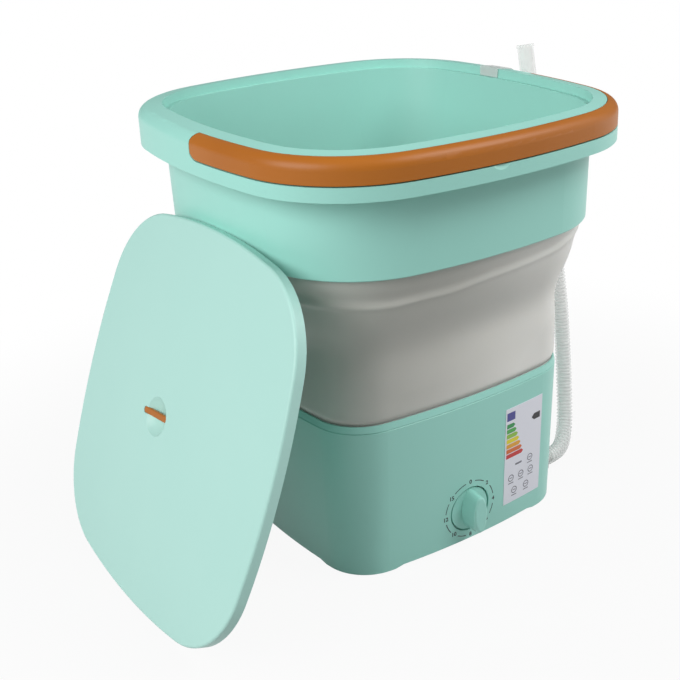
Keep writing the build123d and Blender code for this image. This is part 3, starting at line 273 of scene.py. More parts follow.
class Board:
    """A material's node tree, and the few calls that fill it."""

    def __init__(self, name: str) -> None:
        """Starts an empty material."""
        self.material = bpy.data.materials.new(name)
        self.material.use_nodes = True
        self.tree = self.material.node_tree
        self.tree.nodes.clear()

    def add(self, kind: str, settings: dict | None = None, values: dict | None = None) -> bpy.types.Node:
        """Adds a node.

        Args:
            kind: The node's type.
            settings: Its properties, or a ramp's stops, set before its sockets.
            values: Socket name or number to a wire, a node's socket or a plain value.

        Returns:
            The new node.
        """
        node = self.tree.nodes.new(kind)
        for key, value in (settings or {}).items():
            if key == "stops":
                ramp = node.color_ramp
                while len(ramp.elements) < len(value):
                    ramp.elements.new(0.5)
                for element, (place, colour) in zip(ramp.elements, value):
                    element.position = place
                    element.color = (*colour, 1.0)
            else:
                setattr(node, key, value)
        for key, value in (values or {}).items():
            socket = node.inputs[key]
            if isinstance(value, Wire):
                self.tree.links.new(value.socket, socket)
            elif isinstance(value, tuple) and len(value) == 3 and socket.type == "RGBA":
                socket.default_value = (*value, 1.0)
            else:
                socket.default_value = value
        return node

    def wire(self, node: bpy.types.Node, output: str | int) -> Wire:
        """Wraps one of a node's outputs."""
        return Wire(self, node.outputs[output])

    def places(self, stretch: Point = (1.0, 1.0, 1.0)) -> Wire:
        """Gives the surface's own coordinates, stretched along each axis."""
        node = self.add("ShaderNodeTexCoord")
        mapped = self.add("ShaderNodeMapping", {}, {"Vector": self.wire(node, "Object"), "Scale": stretch})
        return self.wire(mapped, "Vector")

    def axes(self) -> tuple[Wire, Wire, Wire]:
        """Gives x, y and z of the surface's own coordinates."""
        node = self.add("ShaderNodeTexCoord")
        parts = self.add("ShaderNodeSeparateXYZ", {}, {"Vector": self.wire(node, "Object")})
        return self.wire(parts, 0), self.wire(parts, 1), self.wire(parts, 2)

    def noise(self, scale: float, detail: float = 2.0, stretch: Point = (1.0, 1.0, 1.0)) -> Wire:
        """Gives a soft noise between 0 and 1."""
        node = self.add("ShaderNodeTexNoise", {}, {"Vector": self.places(stretch), "Scale": scale,
                                                   "Detail": detail, "Roughness": 0.55})
        return self.wire(node, 0)

    def blend(self, factor: Wire | float, first: Wire | Colour, second: Wire | Colour) -> Wire:
        """Mixes two colours."""
        node = self.add("ShaderNodeMix", {"data_type": "RGBA"}, {0: factor, 6: first, 7: second})
        return self.wire(node, 2)

    def relief(self, height: Wire, strength: float, distance: float) -> Wire:
        """Turns a height into a bumped normal."""
        node = self.add("ShaderNodeBump", {}, {"Strength": strength, "Distance": distance, "Height": height})
        return self.wire(node, "Normal")

    def close(self, values: dict) -> bpy.types.Material:
        """Ends in a Principled shader with these values."""
        shader = self.add("ShaderNodeBsdfPrincipled", {}, values)
        output = self.add("ShaderNodeOutputMaterial")
        self.tree.links.new(shader.outputs[0], output.inputs["Surface"])
        return self.material


@dataclass(frozen=True)
class MouldedPlastic:
    """Injection moulded plastic with a fine spark grain, faint flow clouds and light rub marks.

    Args:
        name: The finish's name.
        colour: Its colour.
        shade: The colour in its flow clouds.
        roughness: How matt it is.
        grain: Height of the grain, in metres.
        grain_scale: Grains per metre.
        specular: Strength of its reflections.
    """

    name: str
    colour: Colour
    shade: Colour
    roughness: float = 0.38
    grain: float = 0.00004
    grain_scale: float = 1400.0
    specular: float = 0.5

    def make(self) -> bpy.types.Material:
        """Builds the material."""
        board = Board(self.name)
        clouds = board.noise(7.0, 3.0)
        flow = board.noise(38.0, 4.0, (1.0, 1.0, 0.35))
        grain = board.noise(self.grain_scale, 2.0)
        rubs = board.noise(60.0, 5.0, (9.0, 1.0, 1.0)).step(0.68, 0.8)
        colour = board.blend(clouds.step(0.3, 0.75) * 0.55, self.colour, self.shade)
        roughness = self.roughness + (flow - 0.5) * 0.1 + rubs * 0.06
        normal = board.relief(grain + flow * 0.4, 0.35, self.grain)
        return board.close({"Base Color": colour, "Roughness": roughness, "Normal": normal,
                            "Specular IOR Level": self.specular, "IOR": 1.49})


@dataclass(frozen=True)
class SoftSkin:
    """The bellows' translucent rubber: clouded, lighter towards its upper edge and rosy at its foot, with
    painted light that lightens it towards the right.

    Args:
        name: The finish's name.
        colour: Its colour low down, mixed with random clouds.
        light: The lighter colour it turns towards its upper edge.
        foot: Its colour in the base's ring.
        painted_light_colour: Its painted light colour, used where the light from the right falls on it.
        foot_z: Height of the foot's strip, in metres.
        top_z: Height of its upper edge, in metres.
    """

    name: str
    colour: Colour
    light: Colour
    foot: Colour
    painted_light_colour: Colour
    foot_z: float
    top_z: float

    def make(self) -> bpy.types.Material:
        """Builds the material."""
        board = Board(self.name)
        x, _, z = board.axes()
        clouds = board.noise(9.0, 3.0)
        dust = board.noise(260.0, 4.0)
        height = z.step(self.foot_z, self.top_z)
        base = board.blend(clouds.step(0.35, 0.7) * 0.5 + height * 0.35, self.colour, self.light)
        # Painted light: towards the right, where the light from the right falls, the skin turns to its
        # painted light colour; the same colour is also partly mixed in over the lowest 70 mm above the foot
        # strip.
        lower = (1 - z.step(self.foot_z, self.foot_z + 0.07)) * 0.3
        painted_light_share = (x.step(-0.04, 0.18) + lower).at_most(1.0)
        foot = (1 - z.step(self.foot_z, self.foot_z + 0.006)) * 0.8
        colour = board.blend(foot, board.blend(painted_light_share, base, self.painted_light_colour), self.foot)
        normal = board.relief(dust + clouds * 2.0, 0.3, 0.0001)
        roughness = 0.44 + (dust - 0.5) * 0.12
        return board.close({"Base Color": colour, "Roughness": roughness, "Normal": normal,
                            "Subsurface Weight": 0.2, "Subsurface Radius": (1.0, 0.9, 0.8),
                            "Subsurface Scale": 0.004, "Specular IOR Level": 0.45, "IOR": 1.43})


@dataclass(frozen=True)
class ClearPlastic:
    """Milky clear plastic of the hose, its cuff and its clip.

    Args:
        name: The finish's name.
        colour: Its colour.
        cover: How much of what is behind it it hides.
        roughness: How matt it is.
    """

    name: str
    colour: Colour
    cover: float
    roughness: float

    def make(self) -> bpy.types.Material:
        """Builds the material."""
        board = Board(self.name)
        haze = board.noise(120.0, 3.0)
        fine = board.noise(900.0, 2.0)
        colour = board.blend(haze.step(0.3, 0.7) * 0.5, self.colour, tuple(c * 0.93 for c in self.colour))
        roughness = self.roughness + (fine - 0.5) * 0.1
        normal = board.relief(haze + fine * 0.3, 0.2, 0.0001)
        return board.close({"Base Color": colour, "Roughness": roughness, "Normal": normal,
                            "Alpha": self.cover, "IOR": 1.38, "Specular IOR Level": 0.5})


@dataclass(frozen=True)
class BareMetal:
    """Turned, pressed or drawn metal.

    Args:
        name: The finish's name.
        colour: Its colour.
        roughness: How matt it is.
        brush: Stretch of its fine lines along each axis.
    """

    name: str
    colour: Colour
    roughness: float
    brush: Point = (1.0, 1.0, 14.0)

    def make(self) -> bpy.types.Material:
        """Builds the material."""
        board = Board(self.name)
        lines = board.noise(260.0, 4.0, self.brush)
        stains = board.noise(30.0, 3.0).step(0.4, 0.7)
        colour = board.blend(stains * 0.4, self.colour, tuple(c * 0.8 for c in self.colour))
        roughness = self.roughness + (lines - 0.5) * 0.16 + stains * 0.05
        normal = board.relief(lines, 0.25, 0.00005)
        return board.close({"Base Color": colour, "Roughness": roughness, "Normal": normal, "Metallic": 1.0})


@dataclass(frozen=True)
class BlackRubber:
    """Matt rubber with a fine bloom.

    Args:
        name: The finish's name.
        colour: Its colour.
    """

    name: str
    colour: Colour

    def make(self) -> bpy.types.Material:
        """Builds the material."""
        board = Board(self.name)
        bloom = board.noise(180.0, 4.0)
        colour = board.blend(bloom.step(0.45, 0.75) * 0.4, self.colour, tuple(c * 2.2 for c in self.colour))
        normal = board.relief(bloom, 0.4, 0.0001)
        return board.close({"Base Color": colour, "Roughness": 0.7 + (bloom - 0.5) * 0.2, "Normal": normal})


@dataclass(frozen=True)
class PrintedInk:
    """Flat printed ink with a slight speckle.

    Args:
        name: The finish's name.
        colour: Its colour.
        roughness: How matt it is.
    """

    name: str
    colour: Colour
    roughness: float = 0.4

    def make(self) -> bpy.types.Material:
        """Builds the material."""
        board = Board(self.name)
        speckle = board.noise(2500.0, 2.0)
        colour = board.blend(speckle.step(0.55, 0.8) * 0.25, self.colour,
                             tuple(min(1.0, c * 1.25 + 0.03) for c in self.colour))
        return board.close({"Base Color": colour, "Roughness": self.roughness + (speckle - 0.5) * 0.08})


class Finish(Enum):
    """The finishes of the machine."""

    MINT = MouldedPlastic("mint_plastic", (0.365, 0.745, 0.655), (0.35, 0.73, 0.64), 0.4)
    # Painted sheen: a paler copy of the mint makes the lid, which faces the key lamp, look lit.
    LID_SHEEN_MINT = MouldedPlastic("lid_mint_painted_sheen", (0.47, 0.77, 0.7), (0.45, 0.755, 0.685), 0.42)
    BROWN = MouldedPlastic("brown_plastic", (0.47, 0.15, 0.014), (0.4, 0.12, 0.01), 0.42,
                           grain=0.00005, grain_scale=1100.0, specular=0.35)
    WHITE = MouldedPlastic("white_plastic", (0.82, 0.84, 0.82), (0.78, 0.8, 0.79), 0.45)
    DARK = MouldedPlastic("dark_plastic", (0.03, 0.03, 0.034), (0.045, 0.045, 0.05), 0.5)
    # The skin's last colour is painted light from the right.
    SKIN = SoftSkin("grey_silicone", (0.47, 0.475, 0.435), (0.54, 0.535, 0.5), (0.6, 0.52, 0.5),
                    (0.84, 0.83, 0.79), 0.158, 0.3)
    HOSE = ClearPlastic("clear_hose", (0.95, 0.955, 0.94), 0.33, 0.4)
    CLIP = ClearPlastic("clear_clip", (0.86, 0.88, 0.87), 0.55, 0.4)
    STEEL = BareMetal("steel", (0.6, 0.6, 0.62), 0.3)
    ZINC = BareMetal("zinc_sheet", (0.5, 0.51, 0.53), 0.45, (6.0, 6.0, 1.0))
    CAN = BareMetal("can_aluminium", (0.72, 0.73, 0.75), 0.35)
    RUBBER = BlackRubber("black_rubber", (0.018, 0.018, 0.018))
    FILM = PrintedInk("label_film", (0.84, 0.85, 0.93), 0.32)
    BLACK_INK = PrintedInk("black_ink", (0.012, 0.012, 0.015))
    BLUE_INK = PrintedInk("blue_ink", (0.07, 0.07, 0.3))
    GREY_INK = PrintedInk("grey_ink", (0.16, 0.16, 0.2))


class Wardrobe:
    """Makes each finish once, and gives it to pieces and nodes."""

    def __init__(self, nodes: dict[str, bpy.types.Object]) -> None:
        """Starts with nothing made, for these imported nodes."""
        self.nodes = nodes
        self.made: dict[str, bpy.types.Material] = {}

    def get(self, finish: Finish | PrintedInk) -> bpy.types.Material:
        """Gives a finish's material."""
        maker = finish.value if isinstance(finish, Finish) else finish
        if maker.name not in self.made:
            self.made[maker.name] = maker.make()
        return self.made[maker.name]

    def dress(self, piece: bpy.types.Object, finish: Finish | PrintedInk) -> None:
        """Gives a piece its finish.

        Args:
            piece: The object to dress.
            finish: What it is made of.
        """
        piece.data.materials.clear()
        piece.data.materials.append(self.get(finish))

    def dress_nodes(self, finish: Finish, *names: str) -> None:
        """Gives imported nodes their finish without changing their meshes."""
        for name in names:
            node = self.nodes[name]
            material = self.get(finish)
            if not node.material_slots:
                node.data.materials.append(material)
            for place in node.material_slots:
                place.material = material
            LOG.info("node %s wears %s", name, finish.name)


@dataclass(frozen=True)
class Dent:
    """A soft dent or bulge in a side of the bellows, in millimetres.

    Args:
        out: How far its middle stands out, or in where negative.
        along: Place of its middle along the side.
        length: How far it spreads along the side.
        z: Height of its middle.
        height: How far it spreads up and down.
    """

    out: float
    along: float
    length: float
    z: float
    height: float

    def read(self, along: float, z: float) -> float:
        """Gives how far it stands out at a place."""
        across, over = (along - self.along) / self.length, (z - self.z) / self.height
        return self.out * math.exp(-across ** 2 - over ** 2)


@dataclass
class Bellows:
    """The soft wall between the base and the upper tub.

    Args:
        wall: Its thickness, in millimetres.
        steps: Height and half width of its outside, from the foot up.
        crease: Places along the front with the height of its fold line.
        level: Height of the fold line away from the front.
        front_dents: Dents of the front.
        left_dent: The left side's dent.
        reach: Heights of the base's seam and of the tub's foot, between which the plan changes.
        bulges: Distance from the middle to a side arc's centre, at both.
        insets: Half width less the radius of a corner, at both.
        side_steps: Points on each side.
        corner_steps: Points on each corner.
        rows: Rows of points in the part that folds.
        foot_rows: Rows of points in the foot.
        joint: Height at which the foot ends, just over the base's ring.
        travel: How far the tub comes down; not used.
    """

    wall: float = 2.0
    steps: tuple[tuple[float, float], ...] = (
        (143.5, 140.6), (158.1, 140.7), (161.0, 142.6), (166.0, 143.4), (194.0, 143.4), (215.0, 143.8),
        (226.0, 145.3), (239.0, 149.4), (254.0, 155.7), (270.0, 161.6), (281.0, 164.5), (292.0, 167.6),
        (302.0, 169.9), (311.0, 170.2))
    crease: tuple[tuple[float, float], ...] = (
        (-150.0, 280.0), (-98.0, 277.7), (-43.0, 276.0), (-5.0, 279.5), (35.0, 281.5), (81.0, 285.0),
        (111.0, 291.0), (150.0, 297.0))
    level: float = 275.0
    front_dents: tuple[Dent, ...] = (
        Dent(-4.5, 20.0, 75.0, 232.0, 24.0), Dent(3.0, 95.0, 34.0, 208.0, 26.0),
        Dent(1.5, -60.0, 60.0, 190.0, 20.0))
    left_dent: Dent = Dent(-2.5, -10.0, 70.0, 230.0, 28.0)
    reach: tuple[float, float] = (150.3, 303.2)
    bulges: tuple[float, float] = (580.0, 453.0)
    insets: tuple[float, float] = (92.7, 73.0)
    side_steps: int = 44
    corner_steps: int = 20
    rows: int = 96
    foot_rows: int = 10
    joint: float = 157.0
    travel: float = 130.0

    def plan(self, half: float, z: float) -> Outline:
        """Gives the plan at a height, between the base's and the tub's."""
        share = min(max((z - self.reach[0]) / (self.reach[1] - self.reach[0]), 0.0), 1.0)
        bulge, inset = (ends[0] + (ends[1] - ends[0]) * share for ends in (self.bulges, self.insets))
        return Outline(half, bulge, half - inset)

    def swell(self, x: float, y: float, z: float) -> float:
        """Gives how far the skin stands out at a place: its fold line, its dents and its bulges."""
        free = smooth(160.0, 185.0, z) * (1 - smooth(292.0, 303.0, z))
        front = smooth(60.0, 110.0, -y)
        left = smooth(60.0, 110.0, -x)
        line = self.level + (between(self.crease, x) - self.level) * front + 3.0 * (y / 160.0) * left
        fold = 1.8 * math.exp(-((z - line) / 3.0) ** 2) - 1.6 * math.exp(-((z - line - 7.0) / 6.0) ** 2)
        ahead = front * sum(dent.read(x, z) for dent in self.front_dents)
        return free * (fold + ahead + left * self.left_dent.read(y, z))

    def ring(self, z: float, inset: float) -> list[Vector]:
        """Gives one row of points at a height."""
        half = between(self.steps, z)
        found = []
        for x, y in self.plan(half - inset, z).points(self.side_steps, self.corner_steps):
            far = math.hypot(x, y)
            out = self.swell(x, y, z) / far
            found.append(at(x * (1 + out), y * (1 + out), z))
        return found

    def sleeve(self, name: str, low: float, high: float, rows: int, body: str) -> bpy.types.Object:
        """Builds a closed sleeve of the skin between two heights."""
        heights = [low + (high - low) * i / (rows - 1) for i in range(rows)]
        columns = 4 * (self.side_steps + self.corner_steps)
        verts = [p for z in heights for p in self.ring(z, 0.0)]
        verts += [p for z in heights for p in self.ring(z, self.wall)]
        return new_piece(name, verts, tube_faces(rows, columns), body)

    def build(self, wardrobe: Wardrobe) -> list[bpy.types.Object]:
        """Builds the foot, which stays in the base's ring, and the skin, which rides on the upper tub."""
        low, high = self.steps[0][0], self.steps[-1][0]
        foot = self.sleeve("bellows_foot", low, self.joint, self.foot_rows, "base")
        skin = self.sleeve("bellows_skin", self.joint, high, self.rows, "upper_tub")
        for piece in (foot, skin):
            wardrobe.dress(piece, Finish.SKIN)
            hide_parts("bellows")
        tuple(at(0, 0, high))
        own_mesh(skin)
        return [foot, skin]


@dataclass
class DrainHose:
    """The ribbed hose from the spout to its cuff at the rim.

    Args:
        route: The hose's points in millimetres, from the spout to the cuff.
        ridge: Radius over the ribs.
        valley: Radius between the ribs.
        bore: Radius of its bore.
        pitch: Distance from rib to rib.
        sides: Points round the hose.
        rib_steps: Rows of points on each rib.
    """

    route: tuple[Point, ...] = (
        (141.98, -90.0, 17.0), (160.0, -90.0, 17.0), (174.5, -85.5, 21.5), (187.0, -76.0, 33.0),
        (196.5, -66.0, 54.0), (202.3, -58.0, 83.0), (206.0, -51.0, 117.0), (207.8, -44.5, 157.0),
        (208.3, -36.5, 202.0), (208.3, -26.0, 247.0), (208.1, -14.5, 290.0), (208.0, -3.6, 328.0),
        (208.0, 3.661, 357.962), (208.0, 9.5, 388.0))
    ridge: float = 8.5
    valley: float = 7.2
    bore: float = 6.2
    pitch: float = 3.7
    sides: int = 24
    rib_steps: int = 8

    def line(self) -> list[Vector]:
        """Reads the route's smooth line as points."""
        curve = bpy.data.curves.new("hose_route", "CURVE")
        curve.dimensions = "3D"
        curve.resolution_u = 24
        spline = curve.splines.new("NURBS")
        spline.points.add(len(self.route) - 1)
        for point, place in zip(spline.points, self.route):
            point.co = (*at(*place), 1.0)
        spline.order_u = 3
        spline.use_endpoint_u = True
        holder = bpy.data.objects.new("hose_route", curve)
        mesh = bpy.data.meshes.new_from_object(holder)
        found = [v.co.copy() for v in mesh.vertices]
        bpy.data.objects.remove(holder)
        bpy.data.meshes.remove(mesh)
        bpy.data.curves.remove(curve)
        return found

    def stations(self) -> list[tuple[Vector, Vector]]:
        """Walks the line in even steps and gives each place with its direction."""
        line = self.line()
        lengths = [0.0]
        for a, b in zip(line, line[1:]):
            lengths.append(lengths[-1] + (b - a).length)
        ribs = int(lengths[-1] / (self.pitch * MM))
        count = ribs * self.rib_steps
        places = []
        index = 0
        for i in range(count + 1):
            want = lengths[-1] * i / count
            while index < len(line) - 2 and lengths[index + 1] < want:
                index += 1
            run = lengths[index + 1] - lengths[index]
            places.append(line[index].lerp(line[index + 1], (want - lengths[index]) / run if run else 0.0))
        found = []
        for i, place in enumerate(places):
            before, after = places[max(i - 2, 0)], places[min(i + 2, count)]
            found.append((place, (after - before).normalized()))
        return found

    def radius(self, step: int) -> float:
        """Gives the outside radius at a step along the ribs."""
        phase = (step % self.rib_steps) / self.rib_steps
        swell = smooth(0.05, 0.3, phase) * (1 - smooth(0.62, 0.92, phase))
        return self.valley + (self.ridge - self.valley) * swell

    def build(self, wardrobe: Wardrobe) -> bpy.types.Object:
        """Builds the hose, which is left on no body."""
        verts: list[Vector] = []
        stations = self.stations()
        side = Vector((0, -1, 0))
        for radius_of in (self.radius, lambda step: self.bore):
            for step, (place, ahead) in enumerate(stations):
                first = (side - ahead * side.dot(ahead)).normalized()
                second = ahead.cross(first)
                for i in range(self.sides):
                    angle = 2 * math.pi * i / self.sides
                    spoke = first * math.cos(angle) + second * math.sin(angle)
                    verts.append(place + spoke * radius_of(step) * MM)
        piece = new_piece("ribbed_hose", verts, tube_faces(len(stations), self.sides), None)
        wardrobe.dress(piece, Finish.HOSE)
        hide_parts("drain_hose")
        tuple(at(208, 0, 380))
        tuple(at(208, 0, 40))
        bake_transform(piece)
        return piece


@dataclass
class FrontFace:
    """The base's bulged front wall, which carries the print round the dial and on the label.

    Args:
        low: Half width at the floor, in millimetres.
        taper: How much it narrows downwards.
        bulge: Distance from the middle to the side arc's centre.
        seam: Height of its upper edge.
    """

    low: float = 139.1
    taper: float = 4.7
    bulge: float = 580.0
    seam: float = 150.3

    def place(self, x: float, z: float, off: float) -> Vector:
        """Gives a point on the wall, or standing off it."""
        half = self.low + self.taper * z / self.seam
        return at(x, -(math.sqrt((half + self.bulge) ** 2 - x * x) - self.bulge) - off, z)


class Shapes:
    """Flat printed shapes, gathered into one mesh that lies on the front face.

    weight: How much wider each stroke of a figure is drawn, in millimetres.
    capital: Height of a figure as a share of its type size.
    """

    weight = 0.16
    capital = 0.7

    def __init__(self, face: FrontFace, off: float) -> None:
        """Starts an empty print that stands this far off the wall, in millimetres."""
        self.face = face
        self.off = off
        self.verts: list[Vector] = []
        self.faces: list[list[int]] = []

    def strip(self, upper: Sequence[tuple[float, float]], lower: Sequence[tuple[float, float]]) -> None:
        """Adds a band between two rows of (x, z) points."""
        start = len(self.verts)
        count = len(upper)
        self.verts += [self.face.place(x, z, self.off) for x, z in lower]
        self.verts += [self.face.place(x, z, self.off) for x, z in upper]
        for i in range(count - 1):
            self.faces.append([start + i, start + i + 1, start + count + i + 1, start + count + i])

    def bar(self, left: float, right: float, low: float, high: float, point: float = 0.0) -> None:
        """Adds a bar, with a pointed right end where asked."""
        steps = 6
        xs = [left + (right - left) * i / steps for i in range(steps + 1)]
        upper = [(x, high) for x in xs]
        lower = [(x, low) for x in xs]
        if point:
            middle = (low + high) / 2
            upper.append((right + point, middle + 0.01))
            lower.append((right + point, middle))
        self.strip(upper, lower)

    def arc(self, centre: tuple[float, float], radius: float, width: float, start: float, end: float) -> None:
        """Adds a curved line, angles in degrees."""
        steps = max(6, int(abs(end - start) / 6))
        rows = []
        for size in (radius + width / 2, radius - width / 2):
            row = []
            for i in range(steps + 1):
                angle = math.radians(start + (end - start) * i / steps)
                row.append((centre[0] + size * math.cos(angle), centre[1] + size * math.sin(angle)))
            rows.append(row)
        self.strip(rows[1], rows[0])

    def number(self, text: str, centre: tuple[float, float], height: float) -> None:
        """Adds a figure, upright about its middle."""
        curve = bpy.data.curves.new("figure", "FONT")
        curve.body = text
        curve.align_x = "CENTER"
        curve.align_y = "CENTER"
        curve.size = height / self.capital
        curve.offset = self.weight
        holder = bpy.data.objects.new("figure", curve)
        mesh = bpy.data.meshes.new_from_object(holder)
        start = len(self.verts)
        for vertex in mesh.vertices:
            self.verts.append(self.face.place(centre[0] + vertex.co.x, centre[1] + vertex.co.y, self.off))
        for polygon in mesh.polygons:
            self.faces.append([start + i for i in polygon.vertices])
        bpy.data.objects.remove(holder)
        bpy.data.meshes.remove(mesh)
        bpy.data.curves.remove(curve)

    def build(self, name: str, finish: Finish | PrintedInk, wardrobe: Wardrobe) -> bpy.types.Object:
        """Makes the print a piece on the base."""
        piece = new_piece(name, self.verts, self.faces, "base", soft=False)
        wardrobe.dress(piece, finish)
        return piece


@dataclass
class DialPrint:
    """The figures round the dial and the thin arcs between them.

    Args:
        face: The wall they are printed on.
        centre: The dial's middle.
        radius: Radius of the ring of figures.
        marks: Each figure with its angle from upright, clockwise in degrees.
        figure: Height of a figure.
        line: Width of the arcs.
        gap: Angle left free on each side of a figure.
        off: How far the print stands off the wall.
    """

    face: FrontFace
    centre: tuple[float, float] = (-1.3, 36.0)
    radius: float = 29.6
    marks: tuple[tuple[str, float], ...] = (
        ("0", 0.0), ("2", 45.0), ("4", 90.0), ("6", 133.0), ("8", 178.0), ("10", 221.0), ("12", 266.0),
        ("15", 310.0))
    figure: float = 4.2
    line: float = 0.8
    gap: float = 11.0
    off: float = 0.08

    def build(self, wardrobe: Wardrobe) -> bpy.types.Object:
        """Prints the ring of figures."""
        ring = Shapes(self.face, self.off)
        x, z = self.centre
        for text, turn in self.marks:
            angle = math.radians(90.0 - turn)
            place = (x + self.radius * math.cos(angle), z + self.radius * math.sin(angle))
            ring.number(text, place, self.figure)
        turns = [turn for _, turn in self.marks] + [360.0]
        for before, after in zip(turns, turns[1:]):
            ring.arc(self.centre, self.radius, self.line, 90.0 - after + self.gap, 90.0 - before - self.gap)
        return ring.build("dial_print", Finish.BLACK_INK, wardrobe)


@dataclass
class LabelPrint:
    """A generic rating sheet: a header, a stack of graded bars, a pointer and plain symbols.

    Args:
        face: The wall that the sheet is stuck to.
        left: Its left edge, in millimetres.
        right: Its right edge.
        low: Its lower edge.
        high: Its upper edge.
        grades: The bars' colours from the top.
        pitch: Distance from bar to bar.
        thick: Height of a bar.
        longer: How much longer each bar is than the one over it.
        symbols: Middles of the round symbols, from the sheet's lower left corner.
        off: How far the print stands off the wall.
    """

    face: FrontFace
    left: float = 42.55
    right: float = 94.05
    low: float = 21.0
    high: float = 128.0
    grades: tuple[Colour, ...] = (
        (0.03, 0.3, 0.08), (0.08, 0.42, 0.08), (0.3, 0.55, 0.06), (0.8, 0.7, 0.03), (0.8, 0.38, 0.03),
        (0.72, 0.16, 0.03), (0.6, 0.03, 0.03))
    pitch: float = 5.6
    thick: float = 4.6
    longer: float = 2.1
    symbols: tuple[tuple[float, float], ...] = (
        (36.0, 42.0), (9.5, 28.0), (23.5, 28.0), (37.5, 28.0), (14.5, 13.0), (31.5, 13.0))
    off: float = 0.4

    def build(self, wardrobe: Wardrobe) -> list[bpy.types.Object]:
        """Prints every part of the sheet."""
        made = []
        header = Shapes(self.face, self.off)
        header.bar(self.left + 1.6, self.left + 12.5, self.high - 13.5, self.high - 4.6)
        made.append(header.build("sheet_header", Finish.BLUE_INK, wardrobe))
        for index, colour in enumerate(self.grades):
            bar = Shapes(self.face, self.off)
            top = self.high - 17.0 - self.pitch * index
            bar.bar(self.left + 1.8, self.left + 10.5 + self.longer * index, top - self.thick, top, 2.4)
            ink = PrintedInk(f"grade_ink_{index + 1}", colour)
            made.append(bar.build(f"grade_bar_{index + 1}", ink, wardrobe))
        dark = Shapes(self.face, self.off)
        dark.strip([(self.right - 15.0, self.high - 21.0), (self.right - 11.5, self.high - 17.6),
                    (self.right - 2.8, self.high - 17.6)],
                   [(self.right - 15.0, self.high - 21.1), (self.right - 11.5, self.high - 24.5),
                    (self.right - 2.8, self.high - 24.5)])
        made.append(dark.build("grade_pointer", Finish.BLACK_INK, wardrobe))
        grey = Shapes(self.face, self.off)
        for x, z in self.symbols:
            cx, cz = self.left + x, self.low + z
            grey.arc((cx, cz), 3.4, 0.8, 0.0, 360.0)
            grey.bar(cx - 2.0, cx + 2.0, cz - 0.4, cz + 0.4)
            grey.bar(cx - 3.6, cx + 3.6, cz - 6.2, cz - 5.3)
        grey.bar(self.left + 15.0, self.left + 24.0, self.low + 40.6, self.low + 42.6)
        made.append(grey.build("sheet_symbols", Finish.GREY_INK, wardrobe))
        return made


@dataclass
class Machine:
    """The whole machine: dressed nodes and the pieces that stand for soft ones.

    Args:
        wardrobe: The finishes.
        nodes: Each finish with the nodes that wear it.
    """

    wardrobe: Wardrobe
    nodes: tuple[tuple[Finish, tuple[str, ...]], ...] = (
        (Finish.MINT, ("upper_tub", "bellows_upper_ring", "base_housing", "base_top_ring", "wash_basin",
                       "program_knob")),
        (Finish.LID_SHEEN_MINT, ("lid_panel", "lid_back")),
        (Finish.BROWN, ("handle", "lid_grip")),
        (Finish.WHITE, ("bottom_cover", "pulsator", "drain_grate", "drain_pipe", "spout_nut")),
        (Finish.DARK, ("bearing_housing", "driven_pulley", "motor_pulley", "timer_body", "power_inlet")),
        (Finish.HOSE, ("hose_cuff",)),
        (Finish.CLIP, ("hose_clip",)),
        (Finish.STEEL, ("handle_pins", "cover_screws", "bearing_housing_screws", "shaft_bearings",
                        "pulsator_shaft", "pulsator_screw", "motor_shaft", "motor_screws", "timer_shaft")),
        (Finish.ZINC, ("motor_body", "motor_bracket")),
        (Finish.CAN, ("motor_capacitor",)),
        (Finish.RUBBER, ("rubber_feet", "shaft_seal", "drive_belt")),
        (Finish.FILM, ("front_label",)),
    )

    def build(self) -> None:
        """Dresses the nodes and builds the pieces, in order."""
        for finish, names in self.nodes:
            self.wardrobe.dress_nodes(finish, *names)
        face = FrontFace()
        for part in (Bellows(), DrainHose(), DialPrint(face), LabelPrint(face)):
            made = part.build(self.wardrobe)
            for piece in made if isinstance(made, list) else [made]:
                LOG.info("piece %s has %d points", piece.name, len(piece.data.vertices))


